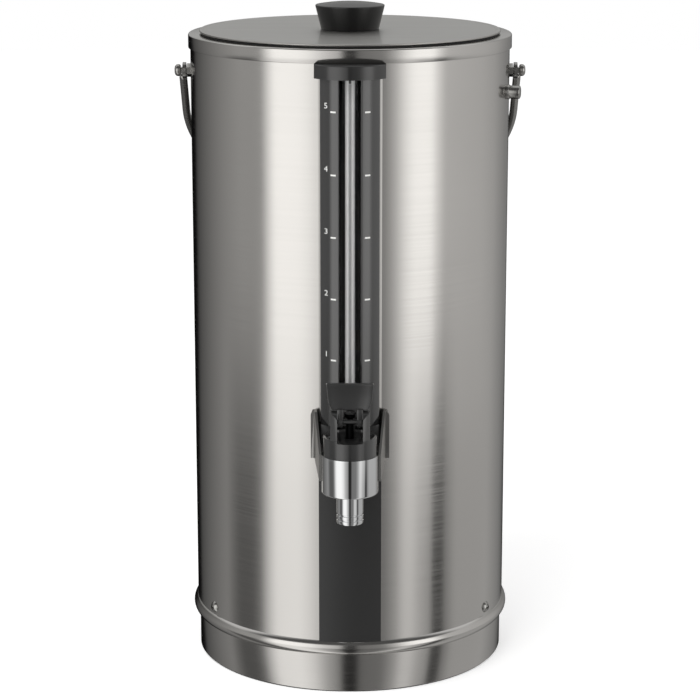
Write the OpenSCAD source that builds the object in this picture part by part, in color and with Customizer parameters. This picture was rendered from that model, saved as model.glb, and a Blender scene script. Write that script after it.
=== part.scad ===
// Insulated coffee urn: a double-walled can with a gauge glass, a lever tap, a lift-off lid and a bail.
// The origin is on the table, on the urn's axis. +Z is up and the front, with the tap, is -Y.

/* [Shell] */
// Outside radius of the brushed outer shell
shell_r = 110; // [104:1:120]
// Sheet thickness of the outer shell
shell_t = 0.8; // [0.6:0.1:1]
// Height of the outer shell
shell_h = 406; // [390:1:440]
// Clear width of the slot down the front of the shell
slot_w = 39.8; // [38.4:0.2:42]
// Radius of the roll along each side of the slot
roll_r = 1.4; // [1.2:0.1:1.6]

/* [Base] */
// Height of the plain skirt under the bead
skirt_h = 27.5; // [20:0.5:40]
// How far the skirt stands back from the shell
skirt_inset = 1.4; // [1:0.1:3]
// Wall of the base ring
base_t = 1.2; // [0.8:0.1:1.6]
// Height of the rounded bead
bead_h = 7; // [6:0.5:9]
// How far the bead stands out from the shell
bead_out = 2.7; // [2:0.1:4]
// Depth of the rebate in the bead that the shell stands in
rebate_d = 0.5; // [0.3:0.1:1]
// Height of the flange inside the shell, above the bead
flange_h = 16; // [14:0.5:24]
// Height of the base screws above the bead
base_screw_up = 8.5; // [7:0.5:9.5]
// Length of the base screws' shanks
base_screw_l = 8; // [6:0.5:10]
// Thickness of the rubber foot pad
pad_t = 3; // [2:0.5:5]
// How far the pad stands out under the skirt
pad_drop = 0.8; // [0.5:0.1:1.5]
// Thickness of the bottom plate
bottom_t = 1; // [0.8:0.1:1.5]

/* [Vessel] */
// Room for foam between the shell and the vessel
foam_t = 20.3; // [18:0.1:24]
// Sheet thickness of the vessel
vessel_t = 0.8; // [0.6:0.1:1]
// Inside depth of the vessel, from its rim to its floor
vessel_depth = 243; // [235:1:250]
// Inside corner radius of the vessel's floor
vessel_corner = 12; // [8:1:16]
// Radius of the sump under the vessel's floor
sump_r = 10; // [9:0.5:12]
// Length of the drain pipe in front of the sump
drain_l = 12.8; // [11:0.2:16]
// Wall of the sump
sump_wall = 2; // [1.5:0.1:2.5]
// Thickness of the foam under the sump
foam_under = 5.8; // [4:0.2:12]
// Thickness of the tray that carries the foam
tray_t = 1; // [0.8:0.1:1.5]

/* [Collar] */
// How far the collar stands out from the shell
collar_out = 1.4; // [1.2:0.1:2]
// Height of the collar's skirt
collar_h = 9.4; // [8:0.2:12]
// Thickness of the collar's flat top
collar_t = 0.9; // [0.8:0.1:1.5]
// Depth of the lip that is welded round the vessel's rim
lip_h = 12; // [8:1:16]

/* [Lid] */
// How far the lid's edge stands back from the collar
lid_step = 7.7; // [6:0.1:10]
// Width of the hem under the lid's edge
hem_w = 3; // [2:0.2:4]
// Height of the lid's hemmed edge
lid_edge_h = 1.9; // [1.6:0.1:2.4]
// Sheet thickness of the lid and its liner
lid_sheet_t = 0.8; // [0.6:0.1:1]
// Thickness of the gasket under the lid
gasket_t = 0.6; // [0.5:0.1:1.2]
// Width of the gasket
gasket_w = 10; // [6:1:12]
// Depth of the plug that hangs into the vessel's mouth
plug_h = 15; // [12:1:20]
// Gap round the plug
plug_gap = 2.5; // [2:0.5:5]
// Corner radius of the plug
plug_corner = 6; // [4:0.5:8]
// Radius of the knob at its top
knob_top_r = 24; // [20:0.5:28]
// Radius of the knob at its foot
knob_foot_r = 19.9; // [16:0.1:22]
// Height of the knob's side
knob_h = 16.4; // [12:0.2:22]
// Rise of the knob's domed top
knob_dome_h = 2.2; // [1.5:0.1:4]
// Length of the knob's screw
knob_screw_l = 10; // [8:0.5:14]

/* [Bail] */
// Radius of the bail's rod
rod_r = 2.7; // [2.4:0.1:3]
// Length of the bail's straight legs, from the pivots
bail_leg = 44.3; // [38:0.1:60]
// Height of the pivots under the shell's top edge
pivot_drop = 25.2; // [22:0.1:32]
// Radius of the flattened eyes
eye_r = 5.5; // [5:0.1:6.5]
// Thickness of the flattened eyes
eye_t = 2.3; // [2:0.1:2.6]
// How far each eye lies inside its leg's inner side
eye_in = 0.3; // [0.2:0.05:0.5]
// Gap between each eye and its spacer
eye_gap = 0.7; // [0.5:0.1:1]
// Gap between each eye and its bolt's head
bolt_gap = 1.4; // [0.6:0.1:2]
// Radius of the pivot bolt's plain neck
neck_r = 2.2; // [2:0.1:2.5]
// Radius of the pivot bolt's head
bolt_head_r = 4.15; // [3.8:0.05:4.4]
// Thickness of the pivot bolt's head
bolt_head_h = 4.2; // [3:0.2:5]
// Height of the hexagonal spacer under each eye
spacer_h = 2.6; // [2.2:0.1:2.8]
// Width across the corners of the hexagonal spacer
spacer_w = 9.4; // [9:0.2:11]
// Radius of the bail's stop
stop_r = 4.5; // [4:0.1:5]
// How far the stop stands out from the shell
stop_out = 11.6; // [11:0.2:13]
// Angle of the stop, forwards of the right pivot
stop_turn = 13.1; // [12.5:0.1:16]
// Height of the stop under the pivots
stop_drop = 12; // [10:0.5:13]
// Length of the stop's stud inside the shell's face
stop_stud = 5; // [4.4:0.1:6]

/* [Gauge] */
// Outside radius of the gauge glass
glass_r = 6; // [5.6:0.1:6.2]
// Radius of the glass's fine bore
glass_bore_r = 2.5; // [2:0.1:3]
// Gap on each side of the glass in its groove
groove_gap = 1; // [0.8:0.1:1.4]
// Depth of the glass behind the channel's front
glass_inset = 3; // [2:0.2:4]
// Radius of the channel's rounded face
channel_face_r = 25; // [24:1:40]
// Thickness of the channel's wings behind the rolled edges
channel_wing_t = 2; // [1.6:0.2:3]
// Height of the channel's foot above the tap's bonnet
channel_up = 1.4; // [1:0.1:3]
// How far the gauge cap laps over each side of the channel
cap_lap = 3.9; // [3:0.1:5]
// Height of the gauge cap's front
cap_h = 9; // [8:0.2:12]
// How far the cap stands out past the channel
cap_out = 2; // [1.5:0.1:3]
// Radius of the cap's rounded face
cap_face_r = 28; // [26:1:60]
// Rise of the cap's top from its front to the collar
cap_rise = 2.2; // [1:0.1:3]
// Depth of the glass in the cap
glass_sunk = 3; // [2:0.5:4]
// Thickness of the plug on the glass
plug_disc_h = 1.5; // [1:0.1:2]
// Length of the plug's nub that shows under the cap
nub_h = 3.4; // [2:0.2:5]
// Gap round the nub in the glass's bore
nub_gap = 1.5; // [0.6:0.1:1.8]

/* [Front strip] */
// How far the black strip laps over each side of the slot
strip_lap = 1.15; // [0.8:0.05:1.6]
// How far the strip stands out from the shell
strip_out = 0.8; // [0.6:0.1:1.2]
// Depth of the strip's body in the slot
strip_depth = 2.4; // [1.5:0.1:3]

/* [Tap] */
// Radius of the tap's body
tap_r = 18.6; // [18:0.1:19.4]
// Depth of the body's underside under the vessel
tap_drop = 43.2; // [42:0.1:50]
// Height of the tap's body
tap_h = 26; // [24:1:28]
// Radius of the valve chamber
chamber_r = 11; // [10.5:0.1:11.5]
// Thickness of the chamber's floor
seat_t = 6; // [5:0.5:7]
// Outside radius of the spout
spout_r = 8.9; // [8.4:0.1:9.6]
// Inside radius of the spout
spout_bore_r = 6.5; // [6:0.1:7]
// Length of the spout under the body
spout_h = 21; // [18:1:30]
// Width of the neck behind the tap's body
neck_w = 20; // [18:1:22]
// Height of the neck
neck_h = 16; // [15:0.5:18]
// Radius of the threaded shank
shank_r = 9; // [8.6:0.1:9.4]
// Radius of the shank's tail and of the drain pipe
pipe_r = 7; // [6.6:0.1:7.4]
// Wall of the shank's tail and of the drain pipe
pipe_wall = 1.5; // [1.2:0.1:2]
// Radius of the riser tube
riser_r = 4.8; // [4.6:0.1:5]
// Gap between the riser and the guard's web
riser_back_gap = 0.9; // [0.4:0.1:2]
// Gap between the riser and the bonnet
riser_gap = 0.6; // [0.4:0.1:2]
// Gap between the channel's foot and the cup that holds the glass
cup_up = 1; // [0.6:0.1:2]
// Thickness of the cup's floor
cup_floor_t = 3; // [2:0.2:4]
// Length of the glass in the cup under its seal
cup_grip = 5; // [4:0.5:8]
// Wall of the cup that holds the glass
cup_wall = 2.5; // [2.2:0.1:3]
// Height of the seal in that cup
seal_h = 4; // [3:0.5:5]
// How far the bonnet stands back from the tap's body
bonnet_step = 1; // [0.6:0.1:1.6]
// Height of the bonnet
bonnet_h = 12.6; // [11:0.2:14]
// Depth of the bonnet's dished top
bonnet_dish = 1.6; // [1:0.1:2]
// Thickness of the bonnet's roof
bonnet_roof_t = 4; // [3:0.2:5]
// Width of the raised rim round the bonnet's top
bonnet_rim_w = 1.8; // [1.2:0.1:2.4]

/* [Tap fixing] */
// Thickness of the plate that carries the tap
tap_plate_t = 2; // [1.5:0.1:3]
// Height of the plate that carries the tap
tap_plate_h = 40; // [34:1:44]
// Thickness of the washer behind the plate
washer_t = 1.5; // [1:0.1:2.5]
// Thickness of the nut on the tap's shank
nut_t = 5; // [4:0.5:7]
// Length of the shank's tail behind its thread
tail_l = 8; // [7:0.5:10]
// Gap between the shank's tail and the drain pipe
pipe_gap = 2; // [1:0.5:4]
// Gap between the channel's wings and the plate
plate_gap = 0.3; // [0.3:0.05:0.6]
// Wall of the drain hose
hose_t = 2.5; // [2:0.1:3]
// Length of the hose on the drain pipe
hose_grip = 8; // [6:0.5:9]

/* [Guard] */
// Sheet thickness of the tap's guard
guard_t = 1.5; // [1.2:0.1:1.8]
// How far the guard reaches past each side of the slot
guard_side = 6.4; // [6:0.1:8]
// Width of each lip
guard_lip = 2.5; // [2:0.1:3]
// Height of the guard's top at the shell, above the bonnet
guard_up = 8.9; // [6:0.1:12]
// Height of the guard's underside at the shell, above the tap's underside
guard_foot_up = 14.3; // [13:0.1:15]
// Height of the guard's underside at the tap, above the tap's underside
guard_toe_up = 7.4; // [5:0.1:9]
// How far the guard's top edge drops on its way to the tap
guard_fall = 22; // [20:0.5:24]
// Width of the guard's web over and under the shank
guard_web_rim = 3; // [2:0.5:4]
// How far the web's lower part stands back from the tap's sides
guard_web_in = 4; // [3:0.5:6]

/* [Lever] */
// Height of the lever's pin above the bonnet
pin_up = 11.4; // [11:0.2:13]
// Radius of the lever's pin
pin_r = 1.55; // [1.4:0.05:1.8]
// Distance from the stem to the lever's pin
toe_len = 8; // [7.6:0.1:8.4]
// Wall of the lever's hubs round the pin
hub_wall = 2.45; // [2:0.05:3]
// Radius of the bonnet's ears
ear_r = 7.5; // [7:0.1:8]
// Thickness of each ear
ear_t = 4.6; // [4:0.1:5]
// Width over the lever's rails
rail_span = 16; // [15.6:0.2:16.6]
// Thickness of each rail
rail_t = 3.5; // [3:0.1:3.7]
// Depth of the rails, front to back
rail_depth = 7; // [6:0.2:7.4]
// Gap between the ears and the paddle
paddle_gap = 0.6; // [0.4:0.1:1.2]
// Width of the paddle at its top
paddle_top_w = 30.4; // [28:0.2:34]
// Width of the paddle at its foot
paddle_foot_w = 24; // [22:0.2:26]
// Height of the paddle
paddle_h = 17.8; // [15:0.2:22]
// Thickness of the paddle
paddle_t = 4; // [3.4:0.1:5]
// Radius of the hollow in the paddle's face
hollow_r = 60; // [50:1:90]

/* [Valve] */
// Radius of the valve stem
stem_r = 3; // [2.8:0.1:3.2]
// Radius of the stem's waist between the lever's prongs
waist_r = 2; // [1.8:0.1:2.2]
// Thickness of the stem's button
button_h = 2.5; // [2:0.1:3]
// Radius of the lever's prongs
prong_r = 1; // [0.8:0.1:1.2]
// Gap between the silicone valve cup and the chamber's wall
valve_gap = 2.5; // [2:0.1:3]
// Height of the silicone valve cup
valve_h = 6; // [5:0.2:7]
// Radius of the spring, to the middle of its wire
coil_r = 6; // [5.5:0.1:6.5]
// Radius of the spring's wire
wire_r = 0.5; // [0.4:0.05:0.6]
// Number of the spring's turns
coil_turns = 6; // [5:1:8]

/* [Fixings] */
// Radius of the M4 shanks
m4_r = 2; // [1.9:0.05:2.1]
// Radius of the pan-head screws' heads
screw_head_r = 4.1; // [3.8:0.1:4.5]
// Height of the pan-head screws' heads
screw_head_h = 2.4; // [2:0.1:2.8]
// Radius of the washers behind the bail's pivots
backing_r = 7; // [6:0.5:8]
// Thickness of the washers behind the bail's pivots
backing_t = 1.5; // [1:0.1:2]
// Height of the hexagonal nuts
nut_h = 3.2; // [2.6:0.1:4]
// Width across the corners of the pivots' nuts
nut_w = 9.4; // [8.6:0.2:11]
// Width across the corners of the stop's nut
stop_nut_w = 7.4; // [7:0.2:8]

/* [Fits] */
// Running clearance round pins and stems
run_fit = 0.05; // [0.03:0.01:0.08]
// Clearance of parts that are pushed or screwed together
seat_fit = 0.1; // [0.05:0.01:0.15]
// Gap beside parts that move past each other
move_gap = 0.4; // [0.35:0.05:0.6]
// Gap that lets the channel slide into the slot
slide_gap = 0.4; // [0.3:0.05:0.5]
// Room in the foam round what passes through it
foam_gap = 2; // [1:0.5:3]

/* [Hidden] */
$fn = 96;
STEEL = "lightsteelblue";
BRIGHT = "gainsboro";
BLACK = "dimgray";
RUBBER = "darkslategray";
FOAM = "khaki";
CUT = 1;
DEEP = 10;

// The can, from the table up
shell_foot = skirt_h + bead_h - rebate_d;
shell_top = shell_foot + shell_h;
shell_in = shell_r - shell_t;
skirt_r = shell_r - skirt_inset;
bead_r = shell_r + bead_out;
flange_r = shell_in - seat_fit;
base_screw_z = skirt_h + bead_h + base_screw_up;
base_screw_turns = [-150, -30, 90];
plate_r = skirt_r - base_t;
collar_r = shell_r + collar_out;
collar_top = shell_top + collar_t;
collar_foot = collar_top - collar_h;

// The vessel and its foam
vessel_out_r = shell_in - foam_t;
vessel_r = vessel_out_r - vessel_t;
vessel_foot = shell_top - vessel_depth - vessel_t;
foam_r = shell_in - seat_fit;
foam_top = shell_top - lip_h - seat_fit;

// The lid
lid_r = collar_r - lid_step;
lid_foot = collar_top + gasket_t;
lid_top = lid_foot + lid_edge_h;
plug_r = vessel_r - plug_gap;

// The tap, hung from the vessel's floor
tap_foot = vessel_foot - tap_drop;
tap_top = tap_foot + tap_h;
bonnet_top = tap_top + bonnet_h;
bonnet_roof = bonnet_top - bonnet_dish - bonnet_roof_t;
bonnet_r = tap_r - bonnet_step;
passage_z = tap_foot + tap_h / 2;
passage_r = pipe_r - pipe_wall;
web_back = shell_r + strip_out;
web_front = web_back + guard_t;
glass_d = web_front + riser_back_gap + riser_r;
tap_d = glass_d + riser_r + riser_gap + bonnet_r;
sump_foot = passage_z - pipe_r - sump_wall;
foam_foot = sump_foot - foam_under;

// The gauge, the slot and the strip
slot_hw = slot_w / 2;
roll_x = slot_hw + roll_r;
roll_y = sqrt(pow(shell_r - roll_r - seat_fit, 2) - pow(roll_x, 2));
channel_w = slot_w - 2 * slide_gap;
channel_front = glass_d + glass_r + glass_inset;
channel_foot = bonnet_top + channel_up;
channel_wing_front = roll_y - roll_r - slide_gap;
channel_wing_w = 2 * (roll_x + roll_r + 3);
channel_back = channel_wing_front - channel_wing_t;
foam_slot_w = channel_wing_w + 2 * foam_gap;
groove_w = 2 * (glass_r + groove_gap);
groove_back = glass_d - glass_r - groove_gap;
cap_foot = collar_foot + 0.5 - cap_h;
cap_front = channel_front + cap_out;
cap_w = channel_w + 2 * cap_lap;
riser_cup_r = glass_r + cup_wall;
riser_cup_foot = channel_foot + cup_up;
glass_foot = riser_cup_foot + cup_floor_t;
riser_cup_top = glass_foot + cup_grip + seal_h;
seal_r = riser_cup_r - 0.8;
glass_top = cap_foot + glass_sunk;
strip_w = slot_w + 2 * strip_lap;
strip_top = channel_foot - slide_gap - seat_fit;

// The tap's fixing
tap_plate_front = channel_wing_front - plate_gap;
tap_plate_back = tap_plate_front - tap_plate_t;
tap_plate_hw = sqrt(pow(shell_in, 2) - pow(tap_plate_front, 2));
thread_end = tap_plate_back - washer_t - nut_t - 1;
tail_end = thread_end - tail_l;
pipe_end = tail_end - pipe_gap;
sump_d = pipe_end - drain_l - sump_r;
spacer_r = shank_r + 4;
spacer_front = sqrt(pow(shell_r - strip_depth, 2) - pow(spacer_r, 2));
bay_hw = tap_plate_hw + 1;

// The bail
pivot_z = shell_top - pivot_drop;
eye_x = shell_r + spacer_h + eye_gap;
bail_r = eye_x - eye_in + rod_r;
bail_reach = bail_r + bail_leg;
bail_lean = asin((shell_r + rod_r + move_gap) / bail_reach);
bolt_head_x = eye_x + eye_t + bolt_gap;
backing_x = sqrt(pow(shell_in, 2) - pow(backing_r, 2)) - backing_t;

// The lever and the valve
pin_z = bonnet_top + pin_up;
pin_y = -(tap_d + toe_len);
ear_span = rail_span + 2 * (move_gap + ear_t);
rail_in = rail_span / 2 - rail_t;
hub_r = pin_r + hub_wall;
paddle_up = ear_r + paddle_gap;
prong_in = waist_r + 0.5;
button_r = rail_in - 0.3;
button_foot = pin_z + prong_r + move_gap;
stem_shoulder = pin_z - prong_r - 1.5;
valve_r = chamber_r - valve_gap;
seat_z = tap_foot + seat_t;
valve_foot = seat_z + seat_fit;
valve_top = valve_foot + valve_h;
spring_seat_h = 1.5;
spring_foot = valve_top + spring_seat_h;

// ---------- Shared shapes ----------

// A plain ring on the urn's axis, between two radii and two heights
module ring(r_in, r_out, z_low, z_high) {
    translate([0, 0, z_low])
        difference() {
            cylinder(r = r_out, h = z_high - z_low);
            translate([0, 0, -CUT])
                cylinder(r = r_in, h = z_high - z_low + 2 * CUT);
        }
}

// A box across the front: half as wide each side, between two distances and two heights
module front_box(half_w, d_near, d_far, z_low, z_high) {
    translate([-half_w, -d_far, z_low])
        cube([2 * half_w, d_far - d_near, z_high - z_low]);
}

// A round bar along Y, from one distance in front of the axis to another
module bar_y(r, d_near, d_far, z) {
    translate([0, -d_near, z])
        rotate([90, 0, 0])
            cylinder(r = r, h = d_far - d_near);
}

// A round bar across X, centred on the front plane
module bar_x(r, length, y, z) {
    translate([-length / 2, y, z])
        rotate([0, 90, 0])
            cylinder(r = r, h = length);
}

// Puts its children on the shell at an angle and a height, with +Z pointing outwards
module on_shell(turn, z) {
    rotate([0, 0, turn])
        translate([shell_r, 0, z])
            rotate([0, 90, 0])
                children();
}

// Puts its children at both bail pivots, with +Z along the pivot, from the axis outwards
module at_pivots() {
    for (turn = [0, 180])
        rotate([0, 0, turn])
            translate([0, 0, pivot_z])
                rotate([0, 90, 0])
                    children();
}

// A side view drawn as [distance in front, height], spread across X
module side_profile(points, half_w) {
    rotate([90, 0, -90])
        translate([0, 0, -half_w])
            linear_extrude(2 * half_w)
                polygon(points);
}

// The half section of a pan with a rounded corner
module half_pan(r, h, corner) {
    translate([0, corner])
        square([r, h - corner]);
    square([r - corner, corner]);
    translate([r - corner, corner])
        circle(corner);
}

// The radial holes that the base screws pass through
module base_screw_holes() {
    for (turn = base_screw_turns)
        on_shell(turn, base_screw_z)
            translate([0, 0, -DEEP])
                cylinder(r = m4_r + seat_fit, h = DEEP + CUT);
}

// ---------- Base ----------

module foot_pad() {
    color(RUBBER)
        cylinder(r = plate_r, h = pad_t);
}

module bottom_plate() {
    color(STEEL)
        translate([0, 0, pad_t])
            cylinder(r = plate_r, h = bottom_t);
}

module base_ring() {
    bead_round = bead_h / 2;
    color(STEEL)
        difference() {
            rotate_extrude() {
                translate([plate_r, pad_drop])
                    square([base_t, skirt_h - pad_drop + 1]);
                translate([plate_r, skirt_h])
                    square([bead_r - bead_round - plate_r, bead_h]);
                translate([bead_r - bead_round, skirt_h + bead_round])
                    circle(bead_round);
                translate([flange_r - base_t, skirt_h])
                    square([base_t, bead_h + flange_h]);
            }
            ring(flange_r, shell_r + seat_fit, shell_foot, shell_foot + bead_h);
            front_box(roll_x + roll_r + seat_fit, shell_r / 2, shell_r + seat_fit,
                shell_foot, shell_foot + bead_h + flange_h);
            base_screw_holes();
        }
}

module base_screws() {
    color(STEEL)
        for (turn = base_screw_turns)
            on_shell(turn, base_screw_z)
                pan_screw(m4_r, base_screw_l);
}

// A pan-head screw: the head stands on its XY plane and the shank runs down
module pan_screw(r, length) {
    dome_r = (pow(screw_head_r, 2) + pow(screw_head_h, 2)) / (2 * screw_head_h);
    slot = 1.1;
    difference() {
        intersection() {
            cylinder(r = screw_head_r, h = screw_head_h);
            translate([0, 0, screw_head_h - dome_r])
                sphere(dome_r);
        }
        for (turn = [0, 90])
            rotate([0, 0, turn])
                translate([-slot * 2, -slot / 2, screw_head_h / 2])
                    cube([slot * 4, slot, screw_head_h]);
    }
    translate([0, 0, -length])
        cylinder(r = r, h = length + 0.1);
}

// ---------- Shell, strip and insulation ----------

module outer_shell() {
    color(STEEL)
        difference() {
            union() {
                difference() {
                    ring(shell_in, shell_r, shell_foot, shell_top);
                    front_box(roll_x, shell_r / 2, shell_r + CUT, shell_foot - CUT, shell_top + CUT);
                }
                for (side = [-1, 1])
                    translate([side * roll_x, -roll_y, shell_foot])
                        cylinder(r = roll_r, h = shell_h);
            }
            base_screw_holes();
            at_pivots()
                translate([0, 0, shell_r - DEEP])
                    cylinder(r = neck_r + seat_fit, h = DEEP + CUT);
            on_shell(-stop_turn, pivot_z - stop_drop)
                translate([0, 0, -DEEP])
                    cylinder(r = m4_r + seat_fit, h = DEEP + CUT);
        }
}

// The strip lies over the rolled edges and its body fills the slot between them
module front_strip() {
    strip_r = shell_r + strip_out;
    strip_foot = skirt_h + bead_h;
    color(BLACK)
        difference() {
            union() {
                intersection() {
                    ring(shell_r, strip_r, strip_foot, strip_top);
                    front_box(strip_w / 2, 0, strip_r, strip_foot, strip_top);
                }
                intersection() {
                    ring(shell_r - strip_depth, shell_r + strip_out / 2, strip_foot, strip_top);
                    front_box(slot_hw - seat_fit, 0, strip_r, strip_foot, strip_top);
                }
            }
            bar_y(shank_r + seat_fit, 0, strip_r + CUT, passage_z);
        }
}

module foam_jacket() {
    color(FOAM)
        difference() {
            ring(vessel_out_r + seat_fit, foam_r, vessel_foot, foam_top);
            front_box(foam_slot_w / 2, channel_back - foam_gap, shell_r, vessel_foot - CUT, foam_top + CUT);
            at_pivots()
                translate([0, 0, shell_r - DEEP])
                    cylinder(r = backing_r + foam_gap, h = DEEP + CUT);
            on_shell(-stop_turn, pivot_z - stop_drop)
                translate([0, 0, -DEEP])
                    cylinder(r = stop_nut_w / 2 + foam_gap, h = DEEP + CUT);
        }
}

module foam_floor() {
    color(FOAM)
        difference() {
            translate([0, 0, foam_foot])
                cylinder(r = foam_r, h = vessel_foot - foam_foot);
            tap_bay(foam_foot - CUT, vessel_foot + CUT);
        }
}

// The room in the foam for the drain, its hose and the back of the tap
module tap_bay(z_low, z_high) {
    front_box(bay_hw, sump_d + sump_r, shell_r, z_low, z_high);
    front_box(sump_r + foam_gap, sump_d - sump_r - foam_gap, shell_r, z_low, z_high);
}

module foam_tray() {
    color(STEEL)
        difference() {
            translate([0, 0, foam_foot - tray_t])
                cylinder(r = shell_in, h = tray_t);
            front_box(bay_hw, tap_plate_back - foam_gap, shell_r, foam_foot - tray_t - CUT, foam_foot + CUT);
        }
}

// ---------- Vessel and collar ----------

module inner_vessel() {
    color(STEEL)
        difference() {
            translate([0, 0, vessel_foot])
                rotate_extrude()
                    difference() {
                        half_pan(vessel_out_r, vessel_depth + vessel_t, vessel_corner + vessel_t);
                        translate([0, vessel_t])
                            half_pan(vessel_r, vessel_depth + CUT, vessel_corner);
                    }
            translate([0, -sump_d, vessel_foot - CUT])
                cylinder(r = sump_r - sump_wall, h = vessel_t + 2 * CUT);
        }
}

// A sump under the vessel's floor, with a pipe towards the tap
module vessel_drain() {
    color(STEEL)
        difference() {
            union() {
                translate([0, -sump_d, sump_foot])
                    cylinder(r = sump_r, h = vessel_foot - sump_foot);
                bar_y(pipe_r, sump_d, pipe_end, passage_z);
            }
            translate([0, -sump_d, sump_foot + sump_wall])
                cylinder(r = sump_r - sump_wall, h = vessel_foot);
            bar_y(passage_r, sump_d, pipe_end + CUT, passage_z);
        }
}

module top_collar() {
    round_r = 1.2;
    skirt_in = shell_r + seat_fit;
    color(STEEL)
        rotate_extrude() {
            translate([skirt_in, collar_foot])
                square([collar_r - skirt_in, collar_h - round_r]);
            translate([vessel_r, shell_top])
                square([collar_r - round_r - vessel_r, collar_t]);
            intersection() {
                translate([collar_r - round_r, collar_top - round_r])
                    circle(round_r);
                translate([skirt_in, shell_top - round_r])
                    square([round_r * 2, collar_t + round_r]);
            }
            translate([vessel_out_r + seat_fit, shell_top - lip_h])
                square([vessel_t, lip_h]);
        }
}

// ---------- Gauge ----------

module gauge_channel() {
    height = cap_foot - channel_foot;
    color(BLACK)
        difference() {
            union() {
                intersection() {
                    translate([0, channel_face_r - channel_front, channel_foot])
                        cylinder(r = channel_face_r, h = height);
                    front_box(channel_w / 2, channel_back, channel_front, channel_foot, cap_foot);
                }
                front_box(channel_w / 2, channel_back, channel_front - channel_face_r / 2,
                    channel_foot, cap_foot);
                front_box(channel_wing_w / 2, channel_back, channel_wing_front, channel_foot, cap_foot);
            }
            front_box(groove_w / 2, groove_back, channel_front + CUT, channel_foot - CUT, cap_foot + CUT);
            translate([0, -glass_d, channel_foot - CUT])
                cylinder(r = riser_cup_r + seat_fit, h = riser_cup_top - channel_foot + 2 * CUT);
        }
}

module gauge_glass() {
    color("white", 0.5)
        translate([0, -glass_d, glass_foot])
            difference() {
                cylinder(r = glass_r, h = glass_top - glass_foot);
                translate([0, 0, -CUT])
                    cylinder(r = glass_bore_r, h = glass_top - glass_foot + 2 * CUT);
            }
}

// The cap closes the channel, holds the glass and lies against the shell and the collar
module gauge_cap() {
    front_top = cap_foot + cap_h;
    slope_back = shell_r - 4;
    slope = [
        [slope_back, cap_foot],
        [cap_front + CUT, cap_foot],
        [cap_front + CUT, front_top],
        [collar_r, front_top + cap_rise],
        [slope_back, front_top + cap_rise]
    ];
    color(BLACK)
        difference() {
            intersection() {
                translate([0, cap_face_r - cap_front, cap_foot])
                    cylinder(r = cap_face_r, h = cap_h + cap_rise);
                front_box(cap_w / 2, channel_back, cap_front, cap_foot, front_top + cap_rise);
                side_profile(slope, cap_w);
            }
            translate([0, 0, cap_foot - CUT])
                cylinder(r = shell_r, h = cap_h + cap_rise + 2 * CUT);
            translate([0, 0, collar_foot - seat_fit])
                cylinder(r = collar_r + seat_fit, h = collar_h);
            translate([0, -glass_d, cap_foot - CUT])
                cylinder(r = glass_r + seat_fit, h = glass_sunk + plug_disc_h + CUT);
        }
}

// A silicone plug on top of the glass, with a nub in its bore
module gauge_top_plug() {
    nub_l = glass_sunk + nub_h;
    color(RUBBER)
        translate([0, -glass_d, glass_top]) {
            cylinder(r = glass_r, h = plug_disc_h);
            translate([0, 0, -nub_l])
                cylinder(r = glass_bore_r - nub_gap, h = nub_l + 0.1);
        }
}

module gauge_bottom_seal() {
    color(RUBBER)
        translate([0, -glass_d, riser_cup_top - seal_h])
            difference() {
                cylinder(r = seal_r - seat_fit, h = seal_h);
                translate([0, 0, -CUT])
                    cylinder(r = glass_r + seat_fit / 2, h = seal_h + 2 * CUT);
            }
}

// ---------- Tap ----------

// The plate that bridges the slot inside the shell and carries the tap
module tap_plate() {
    color(STEEL)
        difference() {
            front_box(tap_plate_hw, tap_plate_back, tap_plate_front,
                passage_z - tap_plate_h / 2, passage_z + tap_plate_h / 2);
            bar_y(shank_r + seat_fit, 0, shell_r, passage_z);
        }
}

module tap_spacer() {
    color(STEEL)
        difference() {
            bar_y(spacer_r, tap_plate_front, spacer_front, passage_z);
            bar_y(shank_r + seat_fit, 0, shell_r, passage_z);
        }
}

// The sheet guard: a web behind the tap, two wings that close on its body, and lips on the shell
module tap_guard() {
    guard_w = slot_w + 2 * guard_side;
    guard_top = bonnet_top + guard_up;
    guard_foot = tap_foot + guard_foot_up;
    guard_toe = tap_foot + guard_toe_up;
    root_x = guard_w / 2 - guard_lip - guard_t;
    web_up = shank_r + guard_web_rim;
    hug_r = tap_r + seat_fit;
    run = tap_d - web_back;
    reach = norm([root_x, run]);
    lean = atan2(root_x, run) - asin(hug_r / reach);
    wing_l = sqrt(pow(reach, 2) - pow(hug_r, 2));
    lip_front = sqrt(pow(shell_r, 2) - pow(root_x, 2)) + guard_t;
    root_back = shell_r - 6;
    side_view = [
        [root_back, guard_foot],
        [web_front, guard_foot],
        [tap_d, guard_toe],
        [tap_d, guard_top - guard_fall],
        [web_front + 2, guard_top],
        [root_back, guard_top]
    ];
    color(STEEL)
        difference() {
            union() {
                intersection() {
                    side_profile(side_view, guard_w);
                    for (side = [0, 1])
                        mirror([side, 0, 0])
                            translate([root_x, -web_back, guard_toe])
                                rotate([0, 0, -lean])
                                    translate([0, -wing_l, 0])
                                        cube([guard_t, wing_l, guard_top - guard_toe]);
                }
                for (side = [0, 1])
                    mirror([side, 0, 0])
                        intersection() {
                            union() {
                                translate([root_x, -lip_front, guard_foot])
                                    cube([guard_lip + guard_t, shell_r, guard_top - guard_foot]);
                                translate([root_x, -web_back - 0.2, guard_foot])
                                    cube([guard_t, shell_r, guard_top - guard_foot]);
                            }
                            front_box(guard_w / 2, root_back, web_front, guard_foot, guard_top);
                        }
                front_box(root_x + 0.1, web_back, web_front, guard_foot, passage_z + web_up);
                front_box(tap_r - guard_web_in, web_back, web_front, passage_z - web_up, guard_foot);
            }
            translate([0, 0, guard_toe - CUT])
                cylinder(r = shell_r, h = guard_top);
            bar_y(shank_r + seat_fit, 0, web_front + CUT, passage_z);
        }
}

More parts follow.
